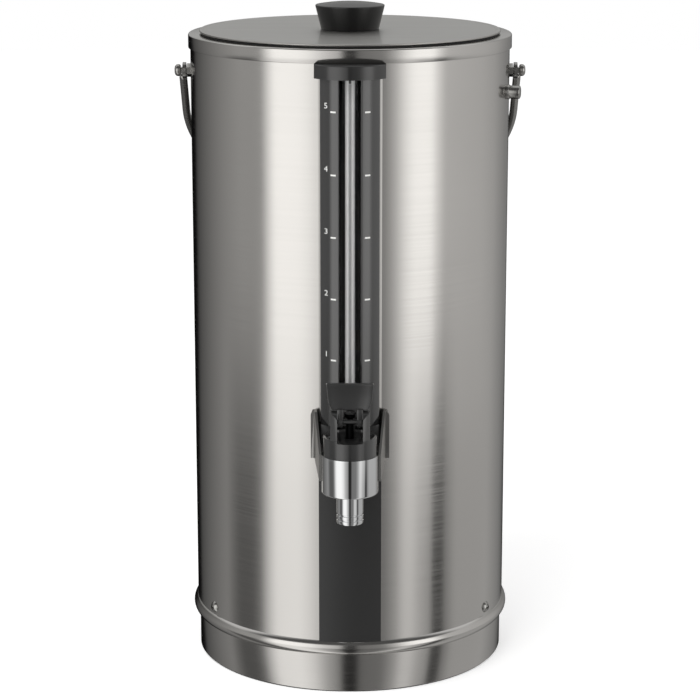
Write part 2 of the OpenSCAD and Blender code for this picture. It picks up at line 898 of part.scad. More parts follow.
// The body: a chrome cylinder with a valve chamber, a neck and a threaded shank
module tap_body() {
    color(BRIGHT)
        difference() {
            union() {
                translate([0, -tap_d, tap_foot])
                    cylinder(r = tap_r, h = tap_h);
                front_box(neck_w / 2, web_front, tap_d, passage_z - neck_h / 2, passage_z + neck_h / 2);
                bar_y(shank_r, thread_end, web_front + 0.1, passage_z);
                bar_y(pipe_r, tail_end, web_front, passage_z);
            }
            translate([0, -tap_d, seat_z])
                cylinder(r = chamber_r, h = tap_h);
            translate([0, -tap_d, tap_foot - CUT])
                cylinder(r = spout_bore_r, h = seat_t + 2 * CUT);
            bar_y(passage_r, tail_end - CUT, tap_d, passage_z);
            translate([0, -glass_d, passage_z])
                cylinder(r = riser_r, h = neck_h);
        }
}

// The spout: a turned nozzle with two grooves near its mouth
module tap_spout() {
    groove = 0.6;
    mouth_z = tap_foot - spout_h;
    color(BRIGHT)
        difference() {
            union() {
                translate([0, -tap_d, mouth_z + 1])
                    cylinder(r = spout_r, h = spout_h - 1);
                translate([0, -tap_d, mouth_z])
                    cylinder(r1 = spout_r - 1, r2 = spout_r, h = 1);
            }
            translate([0, -tap_d, mouth_z - CUT])
                cylinder(r = spout_bore_r, h = spout_h + 2 * CUT);
            for (up = [2.8, 6.1])
                translate([0, -tap_d, mouth_z + up])
                    difference() {
                        cylinder(r = spout_r + CUT, h = 1.1);
                        translate([0, 0, -CUT])
                            cylinder(r = spout_r - groove, h = 1.1 + 2 * CUT);
                    }
        }
}

// A tube that stands in the neck and ends in the cup for the gauge glass
module tap_riser() {
    riser_foot = passage_z + passage_r;
    color(BRIGHT)
        translate([0, -glass_d, 0])
            difference() {
                union() {
                    translate([0, 0, riser_foot])
                        cylinder(r = riser_r, h = riser_cup_foot - riser_foot + 0.5);
                    translate([0, 0, riser_cup_foot])
                        cylinder(r = riser_cup_r, h = riser_cup_top - riser_cup_foot);
                }
                translate([0, 0, riser_foot - CUT])
                    cylinder(r = glass_bore_r, h = glass_foot);
                translate([0, 0, glass_foot])
                    cylinder(r = glass_r + seat_fit, h = riser_cup_top - glass_foot);
                translate([0, 0, riser_cup_top - seal_h])
                    cylinder(r = seal_r, h = seal_h + CUT);
            }
}

// The black bonnet: a dished cap on the body, with two ears for the lever's pin
module tap_bonnet() {
    floor_z = bonnet_top - bonnet_dish;
    color(BLACK)
        difference() {
            union() {
                translate([0, -tap_d, tap_top])
                    difference() {
                        cylinder(r = bonnet_r, h = bonnet_h);
                        translate([0, 0, bonnet_h - bonnet_dish])
                            cylinder(r = bonnet_r - bonnet_rim_w, h = bonnet_h);
                    }
                intersection() {
                    union() {
                        bar_x(ear_r, ear_span, pin_y, pin_z);
                        translate([-ear_span / 2, pin_y - ear_r, floor_z - 0.5])
                            cube([ear_span, 2 * ear_r, pin_z - floor_z + 0.5]);
                    }
                    translate([0, -tap_d, 0])
                        cylinder(r = bonnet_r - 0.3, h = pin_z + 2 * ear_r);
                }
            }
            translate([-rail_span / 2 - move_gap, pin_y - 2 * ear_r, floor_z])
                cube([rail_span + 2 * move_gap, 4 * ear_r, pin_z]);
            translate([0, -tap_d, tap_top - CUT])
                cylinder(r = chamber_r, h = bonnet_roof - tap_top + CUT);
            translate([0, -tap_d, tap_top])
                cylinder(r = stem_r + run_fit, h = bonnet_h + CUT);
            bar_x(pin_r, ear_span + 2 * CUT, pin_y, pin_z);
        }
}

module tap_washer() {
    color(RUBBER)
        difference() {
            bar_y(shank_r + 5, tap_plate_back - washer_t, tap_plate_back, passage_z);
            bar_y(shank_r + seat_fit, 0, shell_r, passage_z);
        }
}

module tap_nut() {
    color(STEEL)
        difference() {
            translate([0, -(tap_plate_back - washer_t - nut_t), passage_z])
                rotate([90, 0, 0])
                    cylinder(r = shank_r + 6, h = nut_t, $fn = 6);
            bar_y(shank_r + seat_fit / 2, 0, shell_r, passage_z);
        }
}

module drain_hose() {
    color(RUBBER)
        difference() {
            bar_y(pipe_r + hose_t, pipe_end - hose_grip, thread_end, passage_z);
            bar_y(pipe_r + seat_fit / 2, 0, shell_r, passage_z);
        }
}

module lever_pin() {
    color(STEEL)
        bar_x(pin_r, ear_span, pin_y, pin_z);
}

// ---------- Bail fittings ----------

module pivot_bolts() {
    dish_r = 20;
    color(STEEL)
        at_pivots() {
            translate([0, 0, backing_x - nut_h])
                cylinder(r = neck_r, h = bolt_head_x - backing_x + nut_h + 0.1);
            intersection() {
                translate([0, 0, bolt_head_x])
                    cylinder(r = bolt_head_r, h = bolt_head_h);
                translate([0, 0, bolt_head_x + bolt_head_h - dish_r])
                    sphere(dish_r);
            }
        }
}

module pivot_spacers() {
    color(STEEL)
        at_pivots()
            difference() {
                translate([0, 0, shell_r])
                    cylinder(r = spacer_w / 2, h = spacer_h, $fn = 6);
                translate([0, 0, shell_r - CUT])
                    cylinder(r = neck_r + seat_fit, h = spacer_h + 2 * CUT);
            }
}

module pivot_backings() {
    color(STEEL)
        at_pivots()
            difference() {
                union() {
                    translate([0, 0, backing_x])
                        cylinder(r = backing_r, h = backing_t);
                    translate([0, 0, backing_x - nut_h])
                        cylinder(r = nut_w / 2, h = nut_h + 0.1, $fn = 6);
                }
                translate([0, 0, shell_r - DEEP])
                    cylinder(r = neck_r + seat_fit / 2, h = DEEP + CUT);
            }
}

// The stop: a turned peg on a stud through the shell, in front of the right pivot
module bail_stop() {
    flange_t = 3;
    color(STEEL)
        union() {
            difference() {
                on_shell(-stop_turn, pivot_z - stop_drop)
                    translate([0, 0, -1])
                        union() {
                            cylinder(r = stop_r, h = stop_out + 0.5);
                            cylinder(r = stop_r - 0.5, h = stop_out + 1);
                            cylinder(r = stop_r + 0.5, h = flange_t);
                        }
                translate([0, 0, shell_foot])
                    cylinder(r = shell_r, h = shell_h);
            }
            on_shell(-stop_turn, pivot_z - stop_drop)
                translate([0, 0, -stop_stud])
                    cylinder(r = m4_r, h = stop_stud + 2);
        }
}

module bail_stop_nut() {
    color(STEEL)
        on_shell(-stop_turn, pivot_z - stop_drop)
            difference() {
                translate([0, 0, -shell_t - nut_h - 0.2])
                    cylinder(r = stop_nut_w / 2, h = nut_h, $fn = 6);
                translate([0, 0, -DEEP])
                    cylinder(r = m4_r + seat_fit / 2, h = DEEP + CUT);
            }
}

// ---------- Lid ----------

module lid_disc() {
    round_r = lid_edge_h / 2;
    color(STEEL)
        difference() {
            rotate_extrude() {
                translate([0, lid_top - lid_sheet_t])
                    square([lid_r - round_r, lid_sheet_t]);
                translate([lid_r - round_r - hem_w, lid_foot])
                    square([hem_w, lid_edge_h]);
                translate([lid_r - round_r, lid_foot + round_r])
                    circle(round_r);
            }
            translate([0, 0, lid_foot])
                cylinder(r = m4_r + seat_fit, h = 2 * lid_edge_h);
        }
}

// The liner: a pan whose rim lies under the lid disc and whose cup hangs into the mouth
module lid_liner() {
    cup_h = plug_h + lid_edge_h - lid_sheet_t;
    cup_foot = lid_top - lid_sheet_t - cup_h;
    rim_r = lid_r - lid_edge_h / 2 - hem_w - seat_fit;
    color(STEEL)
        rotate_extrude() {
            difference() {
                translate([0, cup_foot])
                    half_pan(plug_r, cup_h, plug_corner);
                translate([0, cup_foot + lid_sheet_t])
                    half_pan(plug_r - lid_sheet_t, cup_h, plug_corner - lid_sheet_t);
            }
            translate([plug_r - 0.1, lid_foot])
                square([rim_r - plug_r + 0.1, lid_sheet_t]);
        }
}

module lid_foam() {
    foot = lid_foot - plug_h + lid_sheet_t;
    color(FOAM)
        difference() {
            translate([0, 0, foot])
                rotate_extrude()
                    half_pan(plug_r - lid_sheet_t - seat_fit, lid_top - lid_sheet_t - foot, plug_corner);
            translate([0, 0, lid_top - lid_sheet_t - screw_head_h - 1])
                cylinder(r = screw_head_r + 1, h = plug_h);
        }
}

module lid_gasket() {
    gasket_r = lid_r - 1;
    color(RUBBER)
        ring(gasket_r - gasket_w, gasket_r, collar_top, lid_foot);
}

module lid_knob() {
    dome_r = (pow(knob_top_r, 2) + pow(knob_dome_h, 2)) / (2 * knob_dome_h);
    color(BLACK)
        difference() {
            union() {
                translate([0, 0, lid_top])
                    cylinder(r1 = knob_foot_r, r2 = knob_top_r, h = knob_h);
                intersection() {
                    translate([0, 0, lid_top + knob_h + knob_dome_h - dome_r])
                        sphere(dome_r);
                    translate([0, 0, lid_top + knob_h - 0.1])
                        cylinder(r = knob_top_r, h = knob_dome_h + 1);
                }
            }
            translate([0, 0, lid_top - CUT])
                cylinder(r = m4_r + seat_fit / 2, h = knob_screw_l + CUT);
        }
}

module knob_screw() {
    color(STEEL)
        translate([0, 0, lid_top - lid_sheet_t])
            rotate([180, 0, 0])
                pan_screw(m4_r, knob_screw_l);
}

// ---------- Bail ----------

// Drawn hanging straight down from the pivots, then leant back until the crown meets the shell
module bail_handle() {
    neck_w = 2 * rod_r;
    leg_top = bolt_head_r + rod_r + move_gap;
    color(STEEL)
        translate([0, 0, pivot_z])
            rotate([bail_lean, 0, 0])
                union() {
                    for (side = [0, 1])
                        mirror([side, 0, 0])
                            difference() {
                                union() {
                                    translate([eye_x, 0, 0])
                                        rotate([0, 90, 0])
                                            cylinder(r = eye_r, h = eye_t);
                                    translate([eye_x, -neck_w / 2, -leg_top])
                                        cube([eye_t, neck_w, leg_top]);
                                    translate([bail_r, 0, -leg_top])
                                        sphere(rod_r);
                                    translate([bail_r, 0, -bail_leg])
                                        cylinder(r = rod_r, h = bail_leg - leg_top);
                                }
                                translate([eye_x - CUT, 0, 0])
                                    rotate([0, 90, 0])
                                        cylinder(r = neck_r + run_fit, h = eye_t + 2 * CUT);
                            }
                    translate([0, 0, -bail_leg])
                        rotate([90, 0, 180])
                            rotate([180, 0, 0])
                                rotate_extrude(angle = 180)
                                    translate([bail_r, 0])
                                        circle(rod_r);
                }
}

// ---------- Lever and valve ----------

// The lever: a paddle on two rails that turn on the pin, with two prongs under the stem's button
module tap_lever() {
    paddle_foot = pin_z + paddle_up;
    hollow_y = pin_y - paddle_t / 2 + 1 - hollow_r;
    color(BLACK)
        difference() {
            union() {
                for (side = [0, 1])
                    mirror([side, 0, 0]) {
                        translate([rail_in, pin_y - rail_depth / 2, pin_z])
                            cube([rail_t, rail_depth, paddle_up + 1]);
                        translate([rail_in, pin_y, pin_z])
                            rotate([0, 90, 0])
                                cylinder(r = hub_r, h = rail_t);
                        translate([prong_in, pin_y, pin_z - prong_r])
                            cube([rail_in - prong_in + 0.5, toe_len, 2 * prong_r]);
                        translate([prong_in, pin_y + toe_len, pin_z])
                            rotate([0, 90, 0])
                                cylinder(r = prong_r, h = rail_in - prong_in + 0.5);
                    }
                difference() {
                    translate([0, pin_y + paddle_t / 2, paddle_foot])
                        rotate([90, 0, 0])
                            linear_extrude(paddle_t)
                                polygon([
                                    [-paddle_foot_w / 2, 0],
                                    [paddle_foot_w / 2, 0],
                                    [paddle_top_w / 2, paddle_h],
                                    [-paddle_top_w / 2, paddle_h]
                                ]);
                    bar_x(hollow_r, 2 * paddle_top_w, hollow_y, paddle_foot + paddle_h / 2);
                }
            }
            bar_x(pin_r + run_fit, rail_span + 2 * CUT, pin_y, pin_z);
        }
}

module valve_stem() {
    color(STEEL)
        translate([0, -tap_d, 0]) {
            translate([0, 0, valve_foot + 2])
                cylinder(r = stem_r, h = stem_shoulder - valve_foot - 2);
            translate([0, 0, valve_top])
                cylinder(r = valve_r - 1, h = spring_seat_h);
            translate([0, 0, stem_shoulder - 0.1])
                cylinder(r = waist_r, h = button_foot - stem_shoulder + 0.2);
            translate([0, 0, button_foot])
                cylinder(r = button_r, h = button_h);
        }
}

module valve_cup() {
    color("lightgray")
        translate([0, -tap_d, valve_foot])
            difference() {
                cylinder(r = valve_r, h = valve_h);
                translate([0, 0, 2])
                    cylinder(r = stem_r, h = valve_h);
            }
}

// The closing spring: one wire wound round the stem, between its seat and the bonnet's roof
module valve_spring() {
    steps_per_turn = 8;
    sides = 6;
    steps = coil_turns * steps_per_turn;
    low = spring_foot + wire_r + 0.05;
    rise = bonnet_roof - spring_foot - 2 * wire_r - 0.1;
    ring_points = [
        for (i = [0 : steps], k = [0 : sides - 1])
            let (
                turn = 360 * i / steps_per_turn,
                r = coil_r + wire_r * cos(360 * k / sides)
            )
            [r * cos(turn), r * sin(turn), low + rise * i / steps + wire_r * sin(360 * k / sides)]
    ];
    walls = [
        for (i = [0 : steps - 1], k = [0 : sides - 1])
            let (a = i * sides + k, b = i * sides + (k + 1) % sides)
            each [[a, b, b + sides], [a, b + sides, a + sides]]
    ];
    start_cap = [for (k = [1 : sides - 2]) [0, k + 1, k]];
    end_cap = [for (k = [1 : sides - 2]) [steps * sides, steps * sides + k, steps * sides + k + 1]];
    echo(spring_gap = rise / coil_turns - 2 * wire_r);
    color(STEEL)
        translate([0, -tap_d, 0])
            polyhedron(points = ring_points, faces = concat(walls, start_cap, end_cap));
}

foot_pad();
bottom_plate();
base_ring();
base_screws();
outer_shell();
front_strip();
inner_vessel();
vessel_drain();
top_collar();
foam_jacket();
foam_floor();
foam_tray();
gauge_channel();
gauge_glass();
gauge_cap();
gauge_top_plug();
gauge_bottom_seal();
tap_plate();
tap_spacer();
tap_guard();
tap_body();
tap_spout();
tap_riser();
tap_bonnet();
tap_washer();
tap_nut();
drain_hose();
lever_pin();
pivot_bolts();
pivot_spacers();
pivot_backings();
bail_stop();
bail_stop_nut();
lid_disc();
lid_liner();
lid_foam();
lid_gasket();
lid_knob();
knob_screw();
bail_handle();
tap_lever();
valve_stem();
valve_cup();
valve_spring();
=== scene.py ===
from math import asin, atan2, cos, hypot, pi, radians, sin, sqrt, tan

import bmesh
import bpy
from mathutils import Matrix


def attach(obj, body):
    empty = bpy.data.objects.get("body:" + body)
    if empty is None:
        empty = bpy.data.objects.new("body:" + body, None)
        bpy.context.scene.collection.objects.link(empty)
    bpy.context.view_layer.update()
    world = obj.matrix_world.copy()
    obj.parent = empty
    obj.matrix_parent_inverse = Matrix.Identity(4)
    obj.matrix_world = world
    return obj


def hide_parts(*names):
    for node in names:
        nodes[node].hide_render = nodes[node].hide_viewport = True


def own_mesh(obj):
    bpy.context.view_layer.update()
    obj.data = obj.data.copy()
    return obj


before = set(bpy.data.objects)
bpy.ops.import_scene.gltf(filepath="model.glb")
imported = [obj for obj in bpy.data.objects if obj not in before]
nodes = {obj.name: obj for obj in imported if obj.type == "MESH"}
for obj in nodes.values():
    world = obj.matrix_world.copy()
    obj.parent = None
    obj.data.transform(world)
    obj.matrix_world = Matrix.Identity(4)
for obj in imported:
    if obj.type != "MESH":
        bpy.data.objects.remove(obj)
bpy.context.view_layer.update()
scene = bpy.context.scene
scene.view_settings.view_transform = "Standard"


# ---------------------------------------------------------------- Studio
# A product photographer's table: a white sweep, a tall soft box on each side of the camera and dark
# flags behind them. The steel can mirrors that room, so its bands come from where the boxes stand.

def add_node(tree, kind, inputs=None, **settings):
    """Adds one node, sets its settings, and sets or links its inputs."""
    node = tree.nodes.new(kind)
    for name, value in settings.items():
        setattr(node, name, value)
    for socket, value in (inputs or {}).items():
        if isinstance(value, bpy.types.NodeSocket):
            tree.links.new(value, node.inputs[socket])
        else:
            node.inputs[socket].default_value = value
    return node


def room_wall(tree, turn, levels):
    """The brightness round the room at one height: pairs of a bearing in degrees and a level."""
    ramp = add_node(tree, "ShaderNodeValToRGB", {"Fac": turn})
    stops = ramp.color_ramp.elements
    for i, (bearing, level) in enumerate(levels):
        place = bearing / 360 + 0.5
        stop = stops[i] if i < 2 else stops.new(place)
        stop.position = place
        stop.color = [level / BOX_LEVEL * tone for tone in ROOM_TONE] + [1]
    return ramp.outputs["Color"]


BOX_LEVEL, ROOM_TONE = 2.0, (1.0, 0.992, 0.98)
UPPER_ROOM = (
    (-180, 0.002), (-152, 0.003), (-145, 0.09), (-126, 0.21), (-102, 0.38), (-85, 0.48), (-66, 0.47),
    (-61, 1.1), (-55, 1.72), (-36, 1.68), (-28, 1.5), (-18, 1.05), (-7, 0.75), (-4, 0.05), (3, 0.04),
    (6, 0.26), (24, 0.34), (32, 0.72), (40, 1.36), (47, 1.7), (60, 1.72), (65, 1.2), (72, 0.76),
    (110, 0.66), (127, 0.54), (137, 0.42), (151, 0.29), (164, 0.22), (169, 0.01), (180, 0.002),
)
LOWER_ROOM = (
    (-180, 0.002), (-154, 0.003), (-147, 0.09), (-126, 0.21), (-104, 0.34), (-97, 0.22), (-90, 0.13),
    (-77, 0.13), (-70, 0.25), (-63, 0.85), (-56, 1.3), (-38, 1.34), (-28, 1.1), (-18, 0.62), (-8, 0.36),
    (-5, 0.03), (4, 0.03), (8, 0.22), (24, 0.24), (34, 0.5), (40, 0.85), (46, 0.86), (52, 0.62),
    (62, 0.44), (64, 0.08), (72, 0.08), (75, 0.3), (85, 0.52), (122, 0.52), (151, 0.25), (169, 0.01),
    (180, 0.002),
)

world = bpy.data.worlds.new("photographers_room")
scene.world = world
world.use_nodes = True
room = world.node_tree
room.nodes.clear()

# X, Y and Z say where a mirrored ray goes: to the right, to the back and up. Its heading is 0 in front of
# the urn and grows to the right. Where it dips below the table's edge, the lower wall takes over.
DIP_START, DIP_END = -0.21, -0.285
direction = add_node(room, "ShaderNodeTexCoord").outputs["Generated"]
ray = add_node(room, "ShaderNodeSeparateXYZ", {"Vector": direction})
to_front = add_node(room, "ShaderNodeMath", {0: ray.outputs["Y"], 1: -1.0}, operation="MULTIPLY")
heading = add_node(room, "ShaderNodeMath", {0: ray.outputs["X"], 1: to_front.outputs[0]}, operation="ARCTAN2")
turn = add_node(room, "ShaderNodeMapRange", {"Value": heading.outputs[0], "From Min": -pi, "From Max": pi})
upper = room_wall(room, turn.outputs[0], UPPER_ROOM)
lower = room_wall(room, turn.outputs[0], LOWER_ROOM)
dip = add_node(room, "ShaderNodeMapRange",
               {"Value": ray.outputs["Z"], "From Min": DIP_START, "From Max": DIP_END})
walls = add_node(room, "ShaderNodeMix", {"Factor": dip.outputs[0], "A": upper, "B": lower}, data_type="RGBA")

# The walls end in a grey ceiling. Behind the urn it comes down to the horizon. In front of the urn, and
# beside it, the walls stand tall, and the flank of the base's bead mirrors them.
BESIDE, WALL_RISE, CEILING_FADE, CEILING_GREY = 0.3, 0.9, 0.1, (0.232, 0.232, 0.228, 1)
sideways = add_node(room, "ShaderNodeMath", {0: ray.outputs["X"]}, operation="ABSOLUTE")
past_side = add_node(room, "ShaderNodeMath", {0: BESIDE, 1: sideways.outputs[0]}, operation="SUBTRACT")
nearer = add_node(room, "ShaderNodeMath", {0: ray.outputs["Y"], 1: past_side.outputs[0]}, operation="MINIMUM")
in_front = add_node(room, "ShaderNodeMath", {0: nearer.outputs[0], 1: 0.0}, operation="MINIMUM")
over_wall = add_node(room, "ShaderNodeMath", {0: in_front.outputs[0], 1: WALL_RISE, 2: ray.outputs["Z"]},
                     operation="MULTIPLY_ADD")
above = add_node(room, "ShaderNodeMapRange",
                 {"Value": over_wall.outputs[0], "From Min": 0.0, "From Max": CEILING_FADE})
ceiling = add_node(room, "ShaderNodeMix",
                   {"Factor": above.outputs[0], "A": walls.outputs["Result"], "B": CEILING_GREY},
                   data_type="RGBA")

# Further up, the ceiling is dark towards the camera and light towards the back.
STEEP_START, STEEP_END, MIDDLE_FADE, DARK_HALF, LIGHT_HALF = 0.45, 0.62, 0.15, 0.06, 0.42
steep = add_node(room, "ShaderNodeMapRange",
                 {"Value": ray.outputs["Z"], "From Min": STEEP_START, "From Max": STEEP_END})
halves = add_node(room, "ShaderNodeMapRange",
                  {"Value": ray.outputs["Y"], "From Min": -MIDDLE_FADE, "From Max": MIDDLE_FADE,
                   "To Min": DARK_HALF, "To Max": LIGHT_HALF})
whole = add_node(room, "ShaderNodeMix",
                 {"Factor": steep.outputs[0], "A": ceiling.outputs["Result"], "B": halves.outputs[0]},
                 data_type="RGBA")

# Glossy pieces mirror this room. Matt ones get an even fill from all round, and the camera sees plain white.
WHITE, FILL_LEVEL, BACKDROP_LEVEL = (1, 1, 1, 1), 0.75, 1.0
mirrored = add_node(room, "ShaderNodeBackground", {"Color": whole.outputs["Result"], "Strength": BOX_LEVEL})
fill = add_node(room, "ShaderNodeBackground", {"Color": WHITE, "Strength": FILL_LEVEL})
backdrop = add_node(room, "ShaderNodeBackground", {"Color": WHITE, "Strength": BACKDROP_LEVEL})
path = add_node(room, "ShaderNodeLightPath")
lit = add_node(room, "ShaderNodeMixShader",
               {0: path.outputs["Is Diffuse Ray"], 1: mirrored.outputs[0], 2: fill.outputs[0]})
straight = add_node(room, "ShaderNodeMath",
                    {0: path.outputs["Is Camera Ray"], 1: path.outputs["Is Transmission Ray"]},
                    operation="MAXIMUM")
seen = add_node(room, "ShaderNodeMixShader",
                {0: straight.outputs[0], 1: lit.outputs[0], 2: backdrop.outputs[0]})
add_node(room, "ShaderNodeOutputWorld", {"Surface": seen.outputs[0]})

# The camera stands 1.66 m in front of the urn's axis and 15 cm above its knob, and looks down at it.
CAMERA_Y, CAMERA_Z, CAMERA_DIP = -1.663, 0.609, 13.3
camera = bpy.data.cameras.new("camera")
camera.sensor_width = 36
camera.lens = 123.7
photographer = bpy.data.objects.new("camera", camera)
photographer.location = (0, CAMERA_Y, CAMERA_Z)
photographer.rotation_euler = (radians(90 - CAMERA_DIP), 0, 0)
scene.collection.objects.link(photographer)
scene.camera = photographer

# One broad lamp over the table gives the plastic its shading and the urn its faint shadow.
LAMP_TILT, LAMP_TURN = 34, -32
lamp = bpy.data.lights.new("overhead_box", "AREA")
lamp.shape = "RECTANGLE"
lamp.size = 1.2
lamp.size_y = 0.9
lamp.energy = 14
overhead = bpy.data.objects.new("overhead_box", lamp)
overhead.location = (-0.6, -0.9, 1.7)
overhead.rotation_euler = (radians(LAMP_TILT), 0, radians(LAMP_TURN))
overhead.visible_glossy = False
scene.collection.objects.link(overhead)

# The sweep is white card. It is lit, and a little of its own white keeps it even up to the horizon.
SWEEP_R, CARD_WHITE, CARD_GLOW = 4, (0.8, 0.8, 0.8, 1), (0.42, 0.42, 0.42, 1)
card = bpy.data.materials.new("white_card")
card.use_nodes = True
tree = card.node_tree
tree.nodes.clear()
to_camera = add_node(tree, "ShaderNodeLightPath").outputs["Is Camera Ray"]
matt = add_node(tree, "ShaderNodeBsdfDiffuse", {"Color": CARD_WHITE})
glow = add_node(tree, "ShaderNodeEmission", {"Strength": to_camera, "Color": CARD_GLOW})
both = add_node(tree, "ShaderNodeAddShader", {0: matt.outputs[0], 1: glow.outputs[0]})
add_node(tree, "ShaderNodeOutputMaterial", {"Surface": both.outputs[0]})
bm = bmesh.new()
bmesh.ops.create_circle(bm, cap_ends=True, segments=96, radius=SWEEP_R)
sweep_mesh = bpy.data.meshes.new("sweep")
bm.to_mesh(sweep_mesh)
bm.free()
sweep_mesh.materials.append(card)
sweep = bpy.data.objects.new("sweep", sweep_mesh)
sweep.visible_glossy = False
scene.collection.objects.link(sweep)


# ---------------------------------------------------------------- Base
# The foot is a ring of stainless sheet: a plain skirt, a rolled bead round the can's foot, and a flange
# that goes up inside the can. Three pan-head screws hold the two together. A rubber pad closes the underside.

def from_hex(code):
    """An sRGB colour such as "#c8c6c2" as linear RGBA."""
    parts = [int(code[i:i + 2], 16) / 255 for i in (1, 3, 5)]
    return tuple(p / 12.92 if p <= 0.04045 else ((p + 0.055) / 1.055) ** 2.4 for p in parts) + (1,)


# Brushed steel has lines far under a tenth of a millimetre apart. They are drawn 0.25 to 1.4 mm apart, so
# that they show, and 0.02 mm deep. Tones drift over some 70 mm.
SCRATCH_DEPTH, STEEL_CLOUDS = 0.00002, 14.0


def stainless(name, colour, grain, roughness, spread=0.05, bump=0.25):
    """Stainless steel with the marks of its tool. Grain is how many lines it has in a metre of X, Y and Z."""
    material = bpy.data.materials.new(name)
    material.use_nodes = True
    tree = material.node_tree
    shader = tree.nodes["Principled BSDF"]
    shader.inputs["Metallic"].default_value = 1
    where = add_node(tree, "ShaderNodeTexCoord").outputs["Object"]
    lines = add_node(tree, "ShaderNodeMapping", {"Vector": where, "Scale": grain})
    scratches = add_node(tree, "ShaderNodeTexNoise",
                         {"Vector": lines.outputs[0], "Scale": 1.0, "Detail": 3.0, "Roughness": 0.6})
    clouds = add_node(tree, "ShaderNodeTexNoise", {"Vector": where, "Scale": STEEL_CLOUDS, "Detail": 2.0})
    rough = add_node(tree, "ShaderNodeMapRange",
                     {"Value": scratches.outputs["Fac"], "From Min": 0.3, "From Max": 0.7,
                      "To Min": roughness - spread, "To Max": roughness + spread})
    tree.links.new(rough.outputs[0], shader.inputs["Roughness"])
    tint = add_node(tree, "ShaderNodeMix",
                    {"Factor": clouds.outputs["Fac"], "A": from_hex(colour[0]), "B": from_hex(colour[1])},
                    data_type="RGBA")
    tree.links.new(tint.outputs["Result"], shader.inputs["Base Color"])
    relief = add_node(tree, "ShaderNodeBump",
                      {"Height": scratches.outputs["Fac"], "Strength": bump, "Distance": SCRATCH_DEPTH})
    tree.links.new(relief.outputs[0], shader.inputs["Normal"])
    return material


def lathe(outline, steps=192, closed=True):
    """A turned piece from its half outline, as pairs of a radius and a height in millimetres."""
    bm = bmesh.new()
    points = [bm.verts.new((r, 0, z)) for r, z in outline]
    pairs = zip(points, points[1:] + points[:1]) if closed else zip(points, points[1:])
    edges = [bm.edges.new(pair) for pair in pairs]
    bmesh.ops.spin(bm, geom=points + edges, cent=(0, 0, 0), axis=(0, 0, 1), angle=2 * pi, steps=steps,
                   use_merge=True)
    bmesh.ops.remove_doubles(bm, verts=bm.verts, dist=0.001)
    return bm


# How close to a line or a height a point counts as lying on it.
NEAR = 0.02


def rings(bm, *places):
    """The edges of a turned piece that run round it at these pairs of radius and height."""
    def near(v, r, z):
        return abs(hypot(v.co.x, v.co.y) - r) < NEAR and abs(v.co.z - z) < NEAR
    return [e for e in bm.edges if any(all(near(v, r, z) for v in e.verts) for r, z in places)]


def round_off(bm, edges, radius, steps=4):
    """Rounds edges to a radius in millimetres."""
    bmesh.ops.bevel(bm, geom=edges, offset=radius, offset_type="OFFSET", segments=steps, profile=0.5,
                    affect="EDGES", material=-1, clamp_overlap=True)


def set_in_place(bm, name, finish, body, stands_for=(), crease=40, shift=(0, 0, 0)):
    """Makes the finished piece from a mesh in millimetres and hands it to its body."""
    bmesh.ops.translate(bm, vec=shift, verts=bm.verts)
    bmesh.ops.scale(bm, vec=(0.001, 0.001, 0.001), verts=bm.verts)
    bmesh.ops.remove_doubles(bm, verts=bm.verts, dist=0.000002)
    bmesh.ops.recalc_face_normals(bm, faces=bm.faces)
    mesh = bpy.data.meshes.new(name)
    bm.to_mesh(mesh)
    bm.free()
    mesh.shade_smooth()
    mesh.set_sharp_from_angle(angle=radians(crease))
    mesh.materials.append(finish)
    piece = bpy.data.objects.new(name, mesh)
    scene.collection.objects.link(piece)
    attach(piece, body)
    if stands_for:
        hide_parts(*stands_for)
    return piece


def finish_nodes(finish, *names):
    """Gives CAD nodes that are shown as they are their finish."""
    for name in names:
        for slot in nodes[name].material_slots:
            slot.material = finish


# Brushed round the can, so that each thing it mirrors is drawn out into an upright band.
can_steel = stainless("stainless_brushed_round", ("#c2c0bd", "#bdbbb8"), (5, 5, 1100), 0.15, spread=0.03)
SKIRT_R, SKIRT_FOOT, SKIRT_TURN, SKIRT_ROUND = 108.6, 0.8, 0.6, 0.5
BEAD_R, BEAD_ROUND, BEAD_FOOT, BEAD_TOP, BEAD_STEPS = 112.8, 5.9, 27.5, 37.5, 12
FLANGE_R, FLANGE_SINK, FLANGE_TOP, SHEET = 109.05, 4.0, 50.5, 1.2
bead_z = (BEAD_FOOT + BEAD_TOP) / 2
bead_lean = asin((BEAD_TOP - bead_z) / BEAD_ROUND)
bead_angles = [bead_lean * (2 * i / BEAD_STEPS - 1) for i in range(BEAD_STEPS + 1)]
bead = [(BEAD_R - BEAD_ROUND + BEAD_ROUND * cos(a), bead_z + BEAD_ROUND * sin(a)) for a in bead_angles]
skirt = [(SKIRT_R - SHEET, SKIRT_FOOT), (SKIRT_R, SKIRT_FOOT), (SKIRT_R, BEAD_FOOT - SKIRT_TURN)]
flange = [(FLANGE_R, BEAD_TOP - FLANGE_SINK), (FLANGE_R, FLANGE_TOP), (FLANGE_R - SHEET, FLANGE_TOP),
          (FLANGE_R - SHEET, BEAD_FOOT), (SKIRT_R - SHEET, BEAD_FOOT)]
bm = lathe(skirt + bead + flange, steps=256)
round_off(bm, rings(bm, (SKIRT_R, SKIRT_FOOT)), SKIRT_ROUND, 3)
set_in_place(bm, "foot_ring", can_steel, "urn", ["base_ring"], crease=50)

# The fasteners are turned and so a little bright. Drawn sheet, as in the vessel, is duller.
turned_steel = stainless("stainless_turned", ("#a8a7a4", "#a09f9c"), (1800, 1800, 4000), 0.22, bump=0.1)
drawn_steel = stainless("stainless_drawn_sheet", ("#cfcdc9", "#c9c7c3"), (900, 900, 40), 0.36, bump=0.1)
finish_nodes(turned_steel, "base_screws")
finish_nodes(drawn_steel, "bottom_plate")

